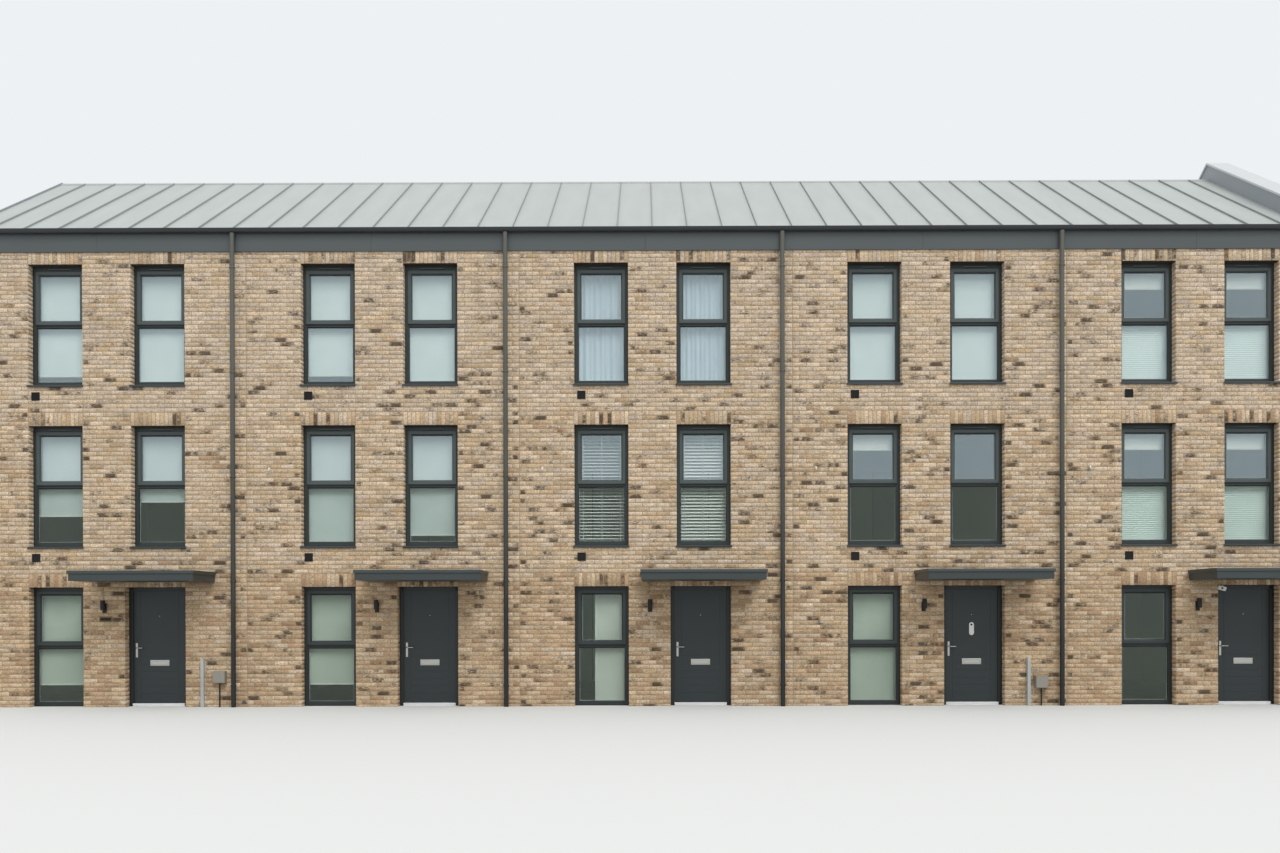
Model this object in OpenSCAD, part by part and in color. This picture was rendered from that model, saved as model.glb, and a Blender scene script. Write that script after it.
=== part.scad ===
// Row of five three-storey terraced houses: brick walls, full-height windows,
// flat door canopies and a standing-seam metal roof with one raised verge.
// Millimetres. X runs along the row, the street front faces -Y, Z is up.
// The origin is the middle of the row's plan at paving level.

/* [Row] */
// Width of one house, from party line to party line
house_w = 4690; // [4600:10:5200]
// Depth of the houses over the outer faces of the front and rear walls
house_d = 7100; // [6500:50:9000]
// Height from one storey to the next
storey_h = 2775; // [2700:25:3000]

/* [Walls] */
// Thickness of the front and rear walls
outer_wall_t = 340; // [320:10:400]
// Thickness of the walls between two houses
party_wall_t = 300; // [220:10:400]
// Thickness of the wall at each end of the row
end_wall_t = 340; // [300:10:420]
// How far the end walls stand out past the last party lines
end_out = 20; // [0:10:200]
// Height of a soldier course with its joint
soldier_h = 225; // [150:75:300]
// Height of the wall behind the fascia, above the top course
wall_head_h = 225; // [200:5:300]

/* [Floors] */
// Thickness of the ground floor above paving level
ground_floor_t = 40; // [20:5:60]
// Thickness of the upper floors
floor_t = 250; // [150:10:300]
// Thickness of the ceiling under the roof
ceiling_t = 120; // [80:10:200]

/* [Openings] */
// Height of the ground floor heads above the paving
head_h = 2062.5; // [2000:12.5:2150]
// Width of a window opening
window_w = 940; // [800:10:1000]
// Height of an upper window opening
upper_window_h = 2100; // [1800:25:2150]
// Distance from the left party line to the left windows
left_window_x = 1140; // [900:10:1300]
// Distance from the right party line to the right edge of the right windows and doors
right_edge_side = 850; // [750:5:950]
// Width of a doorway
doorway_w = 1050; // [1000:10:1150]
// Depth of the brick reveal in front of windows and doors
reveal_d = 160; // [100:5:200]

/* [Windows] */
// Face width of the window frame
frame_w = 70; // [55:1:90]
// Face width of a ground floor window frame's head
frame_head_w = 80; // [60:1:100]
// Face width of an upper window frame's head, which holds a vent
vent_head_w = 100; // [90:1:140]
// Depth of the window frame
frame_d = 70; // [60:1:90]
// Distance from the top of the frame down to its transom
transom_drop = 992; // [800:1:1100]
// Height of the frame's transom
transom_h = 60; // [45:1:80]
// Face width of the opening sash
sash_w = 65; // [50:1:80]
// Overlap of the sash on the frame
sash_lap = 14; // [8:1:20]
// How far the sash stands out of the frame
sash_proud = 12; // [6:1:20]
// Gap between the sash and the inside of the frame
sash_gap = 2; // [1:0.5:4]
// Thickness of a sealed glass unit
glass_t = 24; // [16:1:32]
// Setback of the glass behind the face of the frame
glass_set = 22; // [10:1:30]
// Thickness of a metal cill
cill_t = 25; // [15:1:40]
// How far a cill stands out of the wall
cill_out = 35; // [20:1:60]
// How far a cill runs past the opening on each side
cill_end = 10; // [10:1:40]
// Depth of the front lip of a cill
cill_lip_h = 40; // [30:1:60]

/* [Blinds] */
// Thickness of a hanging blind
blind_t = 6; // [4:1:15]
// Thickness of a gathered curtain
curtain_t = 60; // [40:5:70]
// Depth of a venetian blind
slat_w = 50; // [25:1:60]
// Gap between the back of the window frame and a blind
blind_set = 30; // [10:5:80]
// Gap at each side of a blind
blind_side = 20; // [10:1:40]
// Height of a blind that ends above the foot of a ground floor window
low_blind_drop = 1700; // [1400:10:1900]
// Height of a blind that ends above the foot of an upper window
raised_blind_drop = 1890; // [1700:10:2000]
// Height of a blind that ends in the middle of the lower pane
long_blind_drop = 1545; // [1310:5:1690]
// Height of a blind that stops half way down
half_blind_drop = 1300; // [600:10:1400]
// Height of a blind that is drawn up into the upper light
short_blind_drop = 430; // [200:10:600]
// Width that a side blind leaves open at the left
side_blind_open = 325; // [100:5:600]

/* [Doors] */
// Face width of the door frame
door_frame_w = 74; // [55:1:80]
// Depth of the stop that the leaf closes behind
door_stop_d = 20; // [15:1:30]
// Thickness of the door leaf
leaf_t = 50; // [40:1:70]
// Gap between the leaf and its stop
stop_gap = 5; // [5:0.5:8]
// Gap between the leaf's edges and the frame
leaf_gap = 8; // [6:0.5:10]
// Overlap of the stop on the leaf's edges
stop_lap = 9; // [6:0.5:12]
// Height of the door threshold
threshold_h = 50; // [40:1:70]
// How far the threshold stands out of the door frame
threshold_out = 30; // [10:1:60]
// Angle to which a door opens
door_open = 0; // [0:1:90]

/* [Hinges] */
// Radius of a hinge knuckle
knuckle_r = 7; // [6:0.5:9]
// Distance from the leaf's inner face to the hinge pin's centre line
hinge_out = 12; // [11:0.5:16]
// Height of one of the three knuckles of a hinge
knuckle_h = 32; // [20:1:50]
// Gap between two knuckles of a hinge
knuckle_gap = 0.3; // [0.2:0.1:0.6]
// Width of a hinge plate
hinge_plate_w = 32; // [20:1:40]
// Thickness of a hinge plate
hinge_plate_t = 3; // [2:0.5:4]
// Distance from the leaf's top and bottom edges to the nearest hinge
hinge_inset = 220; // [150:10:300]

/* [Door furniture] */
// Height of the lever above the paving
lever_h = 1010; // [950:5:1100]
// Width of the lever's backplate
backplate_w = 36; // [28:1:50]
// Height of the lever's backplate
backplate_h = 250; // [200:5:280]
// Height of the backplate below the lever
backplate_drop = 165; // [100:5:190]
// Thickness of plates on the leaf
plate_t = 8; // [4:1:12]
// Distance from the leaf's edge to the lever's spindle
backset = 62; // [45:1:80]
// Length of the lever
lever_l = 130; // [100:5:150]
// Diameter of the lever and of its neck
lever_dia = 19; // [14:1:22]
// How far the lever's centre line stands out of the leaf
lever_out = 50; // [40:1:60]
// Width of the letterplate
letter_w = 330; // [250:5:350]
// Height of the letterplate
letter_h = 100; // [60:5:120]
// Height of the letterplate's centre above the paving
letter_z = 750; // [650:10:900]
// Diameter of the door viewer
viewer_dia = 22; // [14:1:30]
// Height of the door viewer above the paving
viewer_z = 1560; // [1450:5:1650]

/* [Roof] */
// Pitch of the roof in degrees
roof_pitch = 30.5; // [25:0.5:38]
// Thickness of the roof, square to its slope
roof_t = 120; // [80:5:160]
// Gap between pieces that lie on each other along the slopes
slope_gap = 0.3; // [0.2:0.1:0.5]
// How far the roof sheet runs out over the gutter
sheet_out = 50; // [30:1:70]
// Thickness of the sheet's edge over the gutter
sheet_edge_t = 12; // [8:1:20]
// Distance between two standing seams
seam_pitch = 600; // [400:10:700]
// Width of a standing seam
seam_w = 12; // [8:1:20]
// Height of a standing seam, square to the slope
seam_h = 32; // [20:1:45]
// Distance from the left end of the row to the first seam
first_seam_x = 495; // [60:5:600]
// Smallest distance from the last seam to the raised verge
last_seam_clear = 150; // [100:10:300]
// Width of the ridge cap on each slope
ridge_wing = 80; // [60:5:250]
// Height of the ridge cap above the sheets
ridge_cap_t = 20; // [15:1:60]

/* [Verges] */
// Width of the raised verge
verge_w = 380; // [300:5:520]
// Height of the raised verge above the sheets
verge_rise = 310; // [200:10:400]
// Height of the capping on the raised verge
verge_cap_t = 40; // [25:1:60]
// How far the capping overhangs the raised verge
verge_cap_out = 25; // [10:1:40]
// Thickness of the plain verge trim at the left end
verge_trim_t = 25; // [10:1:40]
// Height of the plain verge trim
verge_trim_h = 190; // [140:5:220]

/* [Eaves] */
// Thickness of the fascia board
fascia_t = 30; // [20:1:50]
// Height of the fascia board
fascia_h = 355; // [300:5:360]
// How far the fascia hangs down over the top course
fascia_lap = 30; // [0:5:50]
// Width of the gutter
gutter_w = 125; // [110:1:150]
// Height of the gutter
gutter_h = 75; // [65:1:90]
// Thickness of the gutter's metal
gutter_t = 4; // [3:0.5:6]
// Height of the gutter's lip above the sheet's edge
gutter_lip = 25; // [10:1:30]
// Gap between the roof sheet's edge and the gutter
sheet_clear = 5; // [3:0.5:10]
// Outer diameter of a downpipe
pipe_dia = 86; // [70:1:95]
// Thickness of a downpipe
pipe_t = 4; // [3:0.5:6]
// Distance of each downpipe from its party line, to the right
pipe_shifts = [0, -20, 20, 95]; // [-100:5:100]
// Number of clips on a downpipe
clips_per_pipe = 5; // [3:1:7]
// Height of the lowest clip above the paving
clip_foot = 350; // [200:10:500]
// Distance from the top course down to the highest clip
clip_head_drop = 337.5; // [150:12.5:500]
// Height of a pipe clip
clip_h = 30; // [20:1:50]
// Thickness of a pipe clip's band
clip_t = 5; // [3:0.5:8]
// Gap between a clip and its pipe
clip_gap = 0.3; // [0.1:0.1:0.6]
// Width of the stem that ties a clip to the wall
clip_stem_w = 24; // [16:1:40]

/* [Canopies] */
// Width of a canopy
canopy_w = 2080; // [1800:10:2200]
// How far a canopy stands out of the wall
canopy_d = 1000; // [600:10:1200]
// Height of the canopy's underside above the doorway's head
canopy_clear = 80; // [30:1:150]
// Height of the canopy's body
canopy_body_h = 115; // [80:5:160]
// Height of the canopy's top rim
canopy_rim_h = 55; // [30:5:80]
// How far the rim stands out of the canopy's body
canopy_rim_out = 18; // [8:1:40]
// How far the canopy's centre lies right of the doorway's
canopy_shift = 5; // [0:5:60]

/* [Wall fittings] */
// Diameter of a wall light
light_dia = 80; // [80:1:120]
// Height of a wall light
light_h = 215; // [150:5:260]
// Height of a wall light's centre above the paving
light_z = 1725; // [1600:5:1900]
// How far a wall light lies right of the middle of its pier
light_shift = 7.5; // [0:0.5:20]
// Gap between a wall light's body and the wall
light_gap = 34; // [20:1:60]
// Width of the plate and arm that hold a wall light
light_plate_w = 56; // [40:1:70]
// Thickness of a wall light's plate
light_plate_t = 10; // [6:1:16]
// Side of a square wall vent
vent_w = 142; // [120:1:180]
// Thickness of a wall vent
vent_t = 14; // [8:1:30]
// Distance from the left window's edge to the vent
vent_x = 60; // [20:5:200]
// Distance from the window opening down to the vent
vent_drop = 100; // [60:5:150]
// Width of the number plate
number_w = 220; // [150:5:260]
// Height of the number plate
number_h = 90; // [60:5:120]
// Thickness of the number plate
number_t = 10; // [6:1:16]
// Distance from the wall light's centre down to the number plate
number_drop = 170; // [150:5:260]
// How far the number plate's centre lies right of the wall light's
number_shift = 20; // [0:5:60]

/* [Meters] */
// Width of a meter box
meter_w = 210; // [150:5:260]
// Height of a meter box
meter_h = 210; // [180:5:260]
// Depth of a meter box
meter_d = 110; // [80:5:160]
// Distance from a meter box's left edge to the party line
meter_side = 355; // [320:5:420]
// Height of a meter box above the paving
meter_z = 300; // [200:5:500]
// Height of the first house's meter box above the paving
first_meter_z = 410; // [200:5:500]
// Diameter of the pipe under a meter box
meter_pipe_dia = 26; // [16:1:40]
// Width of a cable cover
duct_w = 79; // [50:1:100]
// Depth of a cable cover
duct_d = 62; // [40:1:90]
// Height of a cable cover
duct_h = 820; // [600:10:1000]
// Distance from a cable cover's left edge to the downpipe's centre line
duct_side = 592; // [550:2:680]

/* [Hidden] */

$fn = 48;
// Overrun of a cut past the faces that it passes through
cut = 20;
house_count = 5;
storeys = 3;
houses = [0 : house_count - 1];

row_l = house_count * house_w + 2 * end_out;
left_x = -row_l / 2;
right_x = row_l / 2;
front_y = -house_d / 2;
wall_in_y = house_d / 2 - outer_wall_t;
verge_x = right_x - verge_w;

right_edge_x = house_w - right_edge_side;
right_window_x = right_edge_x - window_w;
doorway_x = right_edge_x - doorway_w;
light_x = (left_window_x + window_w + doorway_x) / 2 + light_shift;
brick_top_h = head_h + (storeys - 1) * storey_h + soldier_h;
wall_top_h = brick_top_h + wall_head_h;

slope = tan(roof_pitch);
roof_rise_t = roof_t / cos(roof_pitch);
seam_rise = seam_h / cos(roof_pitch);
sheet_edge_y = house_d / 2 + fascia_t + sheet_out;
sheet_foot_h = sheet_h(sheet_edge_y) - sheet_edge_t;
gutter_back_y = house_d / 2 + fascia_t;
gutter_front_y = gutter_back_y + gutter_w;
gutter_top_h = sheet_h(sheet_edge_y) + gutter_lip;
gutter_bottom_h = gutter_top_h - gutter_h;
fascia_foot_h = brick_top_h - fascia_lap;
fascia_top_h = fascia_foot_h + fascia_h;
pipe_y = gutter_back_y + gutter_w / 2;
clip_pitch = (brick_top_h - clip_head_drop - clip_foot) / (clips_per_pipe - 1);

light_w = window_w - 2 * frame_w;
sash_in = sash_w - sash_lap;
leaf_w = doorway_w - 2 * (door_frame_w - stop_lap);
rebate_w = door_frame_w - stop_lap - leaf_gap;
leaf_bottom_h = threshold_h + leaf_gap;
leaf_top_h = head_h - rebate_w - leaf_gap;
leaf_back_d = door_stop_d + stop_gap + leaf_t;
hinge_x = doorway_w - rebate_w - leaf_gap / 2;
hinge_y = leaf_back_d + hinge_out;
hinge_h = 3 * knuckle_h + 2 * knuckle_gap;
hinge_levels = [
    leaf_bottom_h + hinge_inset,
    (leaf_bottom_h + leaf_top_h - hinge_h) / 2,
    leaf_top_h - hinge_inset - hinge_h
];

// What hangs in the front windows of each house: storeys from the ground up,
// and windows from left to right
dressings = [
    [["low blind"], ["long blind", "half blind"], ["raised blind", "blind"]],
    [["low blind"], ["blind", "raised blind"], ["raised blind", "blind"]],
    [["side blind"], ["slats", "slats"], ["curtain", "curtain"]],
    [["blind"], ["short blind", "nothing"], ["blind", "blind"]],
    [["nothing"], ["split blind", "split blind"], ["split blind", "split blind"]]
];
// Whether each house has a meter box and a cable cover
metered = [true, false, false, true, false];
// Whether each house has a number plate
numbered = [true, false, false, false, false];

// Height of the top of the roof sheets over a distance from the row's centre line
function sheet_h(y) = wall_top_h + roof_rise_t + (house_d / 2 - y) * slope;
// Height of the underside of the roof
function roof_under_h(y) = wall_top_h + (house_d / 2 - y) * slope;
// Height of the wall tops under the roof
function wall_under_h(y) = roof_under_h(y) - slope_gap;
// Left party line of a house
function house_x(i) = left_x + end_out + i * house_w;
// Centre line of the downpipe between a house and the one before it
function pipe_x(i) = house_x(i) + pipe_shifts[i - 1];
// Left end of a house's part of the walls
function walls_x0(i) = i == 0 ? left_x : house_x(i);
// Right end of a house's part of the walls
function walls_x1(i) = i == house_count - 1 ? right_x : house_x(i + 1);
// Height of the top of the raised verge
function verge_top_h(y) = sheet_h(y) + verge_rise;
// Bottom of the window openings of a storey
function window_z(s) = s == 0 ? 0 : head_h + s * storey_h - upper_window_h;
// Height of the window openings of a storey
function window_h(s) = s == 0 ? head_h : upper_window_h;
// Face width of the head of a storey's window frames
function head_w(s) = s == 0 ? frame_head_w : vent_head_w;
// Height of a window frame of a storey
function window_frame_h(s) = s == 0 ? head_h : upper_window_h - cill_t;
// Top of the floor of a storey
function floor_top(s) = ground_floor_t + s * storey_h;
// Left face of a house's interior
function room_x0(i) = i == 0 ? left_x + end_wall_t : house_x(i) + party_wall_t / 2;
// Right face of a house's interior
function room_x1(i) = i == house_count - 1 ? right_x - end_wall_t : house_x(i + 1) - party_wall_t / 2;
// Left edges of the windows of a storey, within a house
function windows_x(s) = s == 0 ? [left_window_x] : [left_window_x, right_window_x];

// Draws its children on the street side and again on the rear side
module both_sides() {
    children();
    mirror([0, 1, 0]) children();
}

// A profile in Y and Z, given as [y, z] points, drawn out along X
module along_row(x0, x1, points) {
    translate([x0, 0, 0])
        rotate([90, 0, 90])
            linear_extrude(height = x1 - x0)
                polygon(points);
}

// One slab in each house, between its walls
module house_slabs(z, t) {
    for (i = houses)
        translate([room_x0(i), -wall_in_y, z])
            cube([room_x1(i) - room_x0(i), 2 * wall_in_y, t]);
}

// Street wall from the doorway heads down, in piers beside the windows and doors
module ground_piers() {
    for (i = houses) {
        translate([walls_x0(i), front_y, 0])
            cube([house_x(i) + left_window_x - walls_x0(i), outer_wall_t, head_h]);
        translate([house_x(i) + left_window_x + window_w, front_y, 0])
            cube([doorway_x - left_window_x - window_w, outer_wall_t, head_h]);
        translate([house_x(i) + right_edge_x, front_y, 0])
            cube([walls_x1(i) - house_x(i) - right_edge_x, outer_wall_t, head_h]);
    }
}

// Street wall from the doorway heads up to the roof
module upper_wall() {
    difference() {
        along_row(left_x, right_x, [
            [front_y, head_h],
            [-wall_in_y, head_h],
            [-wall_in_y, wall_under_h(wall_in_y)],
            [front_y, wall_under_h(-front_y)]
        ]);
        for (i = houses)
            for (s = [1 : storeys - 1])
                for (x = windows_x(s))
                    translate([house_x(i) + x, front_y - cut, window_z(s)])
                        cube([window_w, outer_wall_t + 2 * cut, upper_window_h]);
    }
}

// Cross wall between the front and rear walls, up to the underside of the roof
module cross_wall(x0, x1) {
    along_row(x0, x1, [
        [-wall_in_y, 0],
        [wall_in_y, 0],
        [wall_in_y, wall_under_h(wall_in_y)],
        [0, wall_under_h(0)],
        [-wall_in_y, wall_under_h(wall_in_y)]
    ]);
}

module ground_floor() {
    color("darkgray") house_slabs(0, ground_floor_t);
}

module first_floor() {
    color("burlywood") house_slabs(floor_top(1) - floor_t, floor_t);
}

module second_floor() {
    color("burlywood") house_slabs(floor_top(2) - floor_t, floor_t);
}

module top_ceiling() {
    color("whitesmoke") house_slabs(wall_top_h - ceiling_t, ceiling_t);
}

module front_wall_ground() {
    color("tan") ground_piers();
}

module front_wall_upper() {
    color("tan") upper_wall();
}

module rear_wall_ground() {
    color("tan") mirror([0, 1, 0]) ground_piers();
}

module rear_wall_upper() {
    color("tan") mirror([0, 1, 0]) upper_wall();
}

module left_end_wall() {
    color("tan") cross_wall(left_x, left_x + end_wall_t);
}

module party_walls() {
    color("lightgray")
        for (i = [1 : house_count - 1])
            cross_wall(house_x(i) - party_wall_t / 2, house_x(i) + party_wall_t / 2);
}

module right_gable_wall() {
    color("tan") cross_wall(right_x - end_wall_t, right_x);
}

// One slope of the roof, with the thin sheet edge that runs out over the gutter
module roof_slope() {
    along_row(left_x, verge_x, [
        [front_y, wall_top_h],
        [0, roof_under_h(0)],
        [0, sheet_h(0)],
        [-sheet_edge_y, sheet_h(sheet_edge_y)],
        [-sheet_edge_y, sheet_foot_h],
        [front_y, sheet_h(house_d / 2) - sheet_edge_t]
    ]);
}

// Standing seams of one slope, from the eaves up to the ridge cap
module slope_seams() {
    span = verge_x - last_seam_clear - left_x - first_seam_x;
    for (k = [0 : floor(span / seam_pitch)]) {
        x = left_x + first_seam_x + k * seam_pitch - seam_w / 2;
        along_row(x, x + seam_w, [
            [-sheet_edge_y, sheet_h(sheet_edge_y) + slope_gap],
            [-ridge_wing, sheet_h(ridge_wing) + slope_gap],
            [-ridge_wing, sheet_h(ridge_wing) + seam_rise],
            [-sheet_edge_y, sheet_h(sheet_edge_y) + seam_rise]
        ]);
    }
}

module front_roof() {
    color("lightgray") roof_slope();
}

module rear_roof() {
    color("lightgray") mirror([0, 1, 0]) roof_slope();
}

module front_roof_seams() {
    color("darkgray") slope_seams();
}

module rear_roof_seams() {
    color("darkgray") mirror([0, 1, 0]) slope_seams();
}

module ridge_cap() {
    color("lightgray")
        along_row(left_x, verge_x, [
            [-ridge_wing, sheet_h(ridge_wing) + slope_gap],
            [0, sheet_h(0) + slope_gap],
            [ridge_wing, sheet_h(ridge_wing) + slope_gap],
            [ridge_wing, sheet_h(ridge_wing) + ridge_cap_t],
            [0, sheet_h(0) + ridge_cap_t],
            [-ridge_wing, sheet_h(ridge_wing) + ridge_cap_t]
        ]);
}

// Metal-clad upstand over the right gable wall, boxed down in front of the fascias
module raised_verge() {
    color("slategray")
        along_row(verge_x, right_x, [
            [0, roof_under_h(0)],
            [front_y, wall_top_h],
            [front_y, fascia_top_h],
            [-gutter_back_y, fascia_top_h],
            [-gutter_back_y, gutter_bottom_h],
            [-gutter_front_y, gutter_bottom_h],
            [-gutter_front_y, verge_top_h(gutter_front_y)],
            [0, verge_top_h(0)],
            [gutter_front_y, verge_top_h(gutter_front_y)],
            [gutter_front_y, gutter_bottom_h],
            [gutter_back_y, gutter_bottom_h],
            [gutter_back_y, fascia_top_h],
            [-front_y, fascia_top_h],
            [-front_y, wall_top_h]
        ]);
}

module verge_capping() {
    color("gainsboro")
        along_row(verge_x - verge_cap_out, right_x + verge_cap_out, [
            [-gutter_front_y, verge_top_h(gutter_front_y) + slope_gap],
            [0, verge_top_h(0) + slope_gap],
            [gutter_front_y, verge_top_h(gutter_front_y) + slope_gap],
            [gutter_front_y, verge_top_h(gutter_front_y) + verge_cap_t],
            [0, verge_top_h(0) + verge_cap_t],
            [-gutter_front_y, verge_top_h(gutter_front_y) + verge_cap_t]
        ]);
}

// Plain trim over the left end of the roof
module left_verge_trim() {
    trim_top = seam_rise;
    color("slategray")
        along_row(left_x - verge_trim_t, left_x, [
            [-gutter_front_y, sheet_h(gutter_front_y) + trim_top - verge_trim_h],
            [0, sheet_h(0) + trim_top - verge_trim_h],
            [gutter_front_y, sheet_h(gutter_front_y) + trim_top - verge_trim_h],
            [gutter_front_y, sheet_h(gutter_front_y) + trim_top],
            [0, sheet_h(0) + trim_top],
            [-gutter_front_y, sheet_h(gutter_front_y) + trim_top]
        ]);
}

module fascia_boards() {
    color("dimgray")
        both_sides()
            translate([left_x, -gutter_back_y, fascia_foot_h])
                cube([row_l, fascia_t, fascia_h]);
}

// Box gutters with an outlet over every downpipe, cut down at the back for the sheets
module gutters() {
    color("dimgray")
        both_sides()
            difference() {
                translate([left_x, -gutter_front_y, gutter_bottom_h])
                    cube([verge_x - left_x, gutter_w, gutter_h]);
                translate([left_x + gutter_t, gutter_t - gutter_front_y, gutter_bottom_h + gutter_t])
                    cube([verge_x - left_x - 2 * gutter_t, gutter_w - 2 * gutter_t, gutter_h]);
                translate([left_x - cut, -sheet_edge_y - sheet_clear, sheet_foot_h - sheet_clear])
                    cube([row_l, sheet_out + sheet_clear + cut, gutter_h]);
                for (i = [1 : house_count - 1])
                    translate([pipe_x(i), -pipe_y, gutter_bottom_h - cut])
                        cylinder(h = gutter_t + 2 * cut, r = pipe_dia / 2 - pipe_t);
            }
}

module downpipes() {
    color("dimgray")
        both_sides()
            for (i = [1 : house_count - 1])
                translate([pipe_x(i), -pipe_y, 0])
                    difference() {
                        cylinder(h = gutter_bottom_h, r = pipe_dia / 2);
                        translate([0, 0, -cut])
                            cylinder(h = gutter_bottom_h + 2 * cut, r = pipe_dia / 2 - pipe_t);
                    }
}

// Bands around the downpipes, each with a stem back to the wall
module pipe_clips() {
    band_r = pipe_dia / 2 + clip_gap;
    stem_l = pipe_y - house_d / 2 - band_r;
    color("dimgray")
        both_sides()
            for (i = [1 : house_count - 1])
                for (k = [0 : clips_per_pipe - 1])
                    translate([pipe_x(i), -pipe_y, clip_foot + k * clip_pitch]) {
                        difference() {
                            cylinder(h = clip_h, r = band_r + clip_t);
                            translate([0, 0, -cut])
                                cylinder(h = clip_h + 2 * cut, r = band_r);
                        }
                        translate([-clip_stem_w / 2, band_r + clip_t / 2, 0])
                            cube([clip_stem_w, stem_l - clip_t / 2, clip_h]);
                    }
}

// Fixed frame of a storey with its transom, front face on Y = 0
module window_frame(s) {
    h = window_frame_h(s);
    light_foot = h - transom_drop;
    difference() {
        cube([window_w, frame_d, h]);
        translate([frame_w, -cut, light_foot])
            cube([light_w, frame_d + 2 * cut, transom_drop - head_w(s)]);
        translate([frame_w, -cut, frame_w])
            cube([light_w, frame_d + 2 * cut, light_foot - transom_h - frame_w]);
    }
}

// Opening sash in the upper light: a flange over the frame and a body inside it
module window_sash(s) {
    light_foot = window_frame_h(s) - transom_drop;
    light_h = transom_drop - head_w(s);
    difference() {
        union() {
            translate([frame_w - sash_lap, -sash_proud, light_foot - sash_lap])
                cube([light_w + 2 * sash_lap, sash_proud, light_h + 2 * sash_lap]);
            translate([frame_w + sash_gap, 0, light_foot + sash_gap])
                cube([light_w - 2 * sash_gap, frame_d, light_h - 2 * sash_gap]);
        }
        translate([frame_w + sash_in, -sash_proud - cut, light_foot + sash_in])
            cube([light_w - 2 * sash_in, frame_d + sash_proud + 2 * cut, light_h - 2 * sash_in]);
    }
}

// The two sealed units of a window
module window_panes(s) {
    light_foot = window_frame_h(s) - transom_drop;
    light_h = transom_drop - head_w(s);
    translate([frame_w + sash_in, glass_set, light_foot + sash_in])
        cube([light_w - 2 * sash_in, glass_t, light_h - 2 * sash_in]);
    translate([frame_w, glass_set, frame_w])
        cube([light_w, glass_t, light_foot - transom_h - frame_w]);
}

// Folded metal cill under an upper window
module window_cill() {
    cube([window_w, reveal_d + frame_d, cill_t]);
    translate([-cill_end, -cill_out, cill_t - cill_lip_h])
        cube([window_w + 2 * cill_end, cill_out, cill_lip_h]);
}

module window_frames() {
    color("darkslategray")
        both_sides()
            for (i = houses)
                for (s = [0 : storeys - 1])
                    for (x = windows_x(s))
                        translate([house_x(i) + x, front_y + reveal_d, frame_z(s)])
                            window_frame(s);
}

// Bottom of the window frames of a storey
function frame_z(s) = window_z(s) + window_h(s) - window_frame_h(s);

module window_sashes() {
    color("darkslategray")
        both_sides()
            for (i = houses)
                for (s = [0 : storeys - 1])
                    for (x = windows_x(s))
                        translate([house_x(i) + x, front_y + reveal_d, frame_z(s)])
                            window_sash(s);
}

module window_glass() {
    color("lightblue", 0.5)
        both_sides()
            for (i = houses)
                for (s = [0 : storeys - 1])
                    for (x = windows_x(s))
                        translate([house_x(i) + x, front_y + reveal_d, frame_z(s)])
                            window_panes(s);
}

module window_cills() {
    color("dimgray")
        both_sides()
            for (i = houses)
                for (s = [1 : storeys - 1])
                    for (x = windows_x(s))
                        translate([house_x(i) + x, front_y, window_z(s)])
                            window_cill();
}

// A blind or curtain behind a window that starts at X, hung from the head of the opening
module hanging(x, s, t, drop, open_w = 0) {
    head = window_z(s) + window_h(s);
    foot = max(head - drop, floor_top(s) + blind_side);
    translate([x + blind_side + open_w, front_y + reveal_d + frame_d + blind_set, foot])
        cube([window_w - 2 * blind_side - open_w, t, head - foot]);
}

// A blind that covers a window's lower pane, up from the foot of the opening
module lower_blind(x, s, t) {
    translate([x + blind_side, front_y + reveal_d + frame_d + blind_set, window_z(s)])
        cube([window_w - 2 * blind_side, t, window_h(s) - transom_drop]);
}

// Hangings of one kind on the street side
module street_hangings(kind, t, drop, open_w = 0) {
    for (i = houses)
        for (s = [0 : storeys - 1])
            for (k = [0 : len(windows_x(s)) - 1])
                if (dressings[i][s][k] == kind)
                    hanging(house_x(i) + windows_x(s)[k], s, t, drop, open_w);
}

module roller_blinds() {
    color("whitesmoke") {
        street_hangings("blind", blind_t, upper_window_h);
        street_hangings("side blind", blind_t, upper_window_h, side_blind_open);
        street_hangings("low blind", blind_t, low_blind_drop);
        street_hangings("raised blind", blind_t, raised_blind_drop);
        street_hangings("long blind", blind_t, long_blind_drop);
        street_hangings("half blind", blind_t, half_blind_drop);
        street_hangings("short blind", blind_t, short_blind_drop);
        street_hangings("split blind", blind_t, short_blind_drop);
        mirror([0, 1, 0])
            for (i = houses)
                for (s = [0 : storeys - 1])
                    for (x = windows_x(s))
                        hanging(house_x(i) + x, s, blind_t, upper_window_h);
    }
}

module pleated_blinds() {
    color("honeydew")
        for (i = houses)
            for (s = [0 : storeys - 1])
                for (k = [0 : len(windows_x(s)) - 1])
                    if (dressings[i][s][k] == "split blind")
                        lower_blind(house_x(i) + windows_x(s)[k], s, blind_t);
}

module venetian_blinds() {
    color("gainsboro") street_hangings("slats", slat_w, upper_window_h);
}

module curtains() {
    color("white") street_hangings("curtain", curtain_t, upper_window_h);
}

// One side of a door frame, from its outer face at X = 0, front face on Y = 0
module door_jamb() {
    cube([door_frame_w, door_stop_d, head_h]);
    cube([rebate_w, leaf_back_d, head_h]);
}

// Top of a door frame, between its two jambs
module door_head() {
    translate([door_frame_w, 0, head_h - door_frame_w])
        cube([doorway_w - 2 * door_frame_w, door_stop_d, door_frame_w]);
    translate([rebate_w, door_stop_d, head_h - rebate_w])
        cube([doorway_w - 2 * rebate_w, leaf_back_d - door_stop_d, rebate_w]);
}

// Halves of the hinges that stay on the door frame
module fixed_knuckles() {
    for (z = hinge_levels)
        for (k = [0, 2])
            translate([hinge_x, hinge_y, z + k * (knuckle_h + knuckle_gap)]) {
                cylinder(h = knuckle_h, r = knuckle_r);
                hinge_plate();
            }
}

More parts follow.
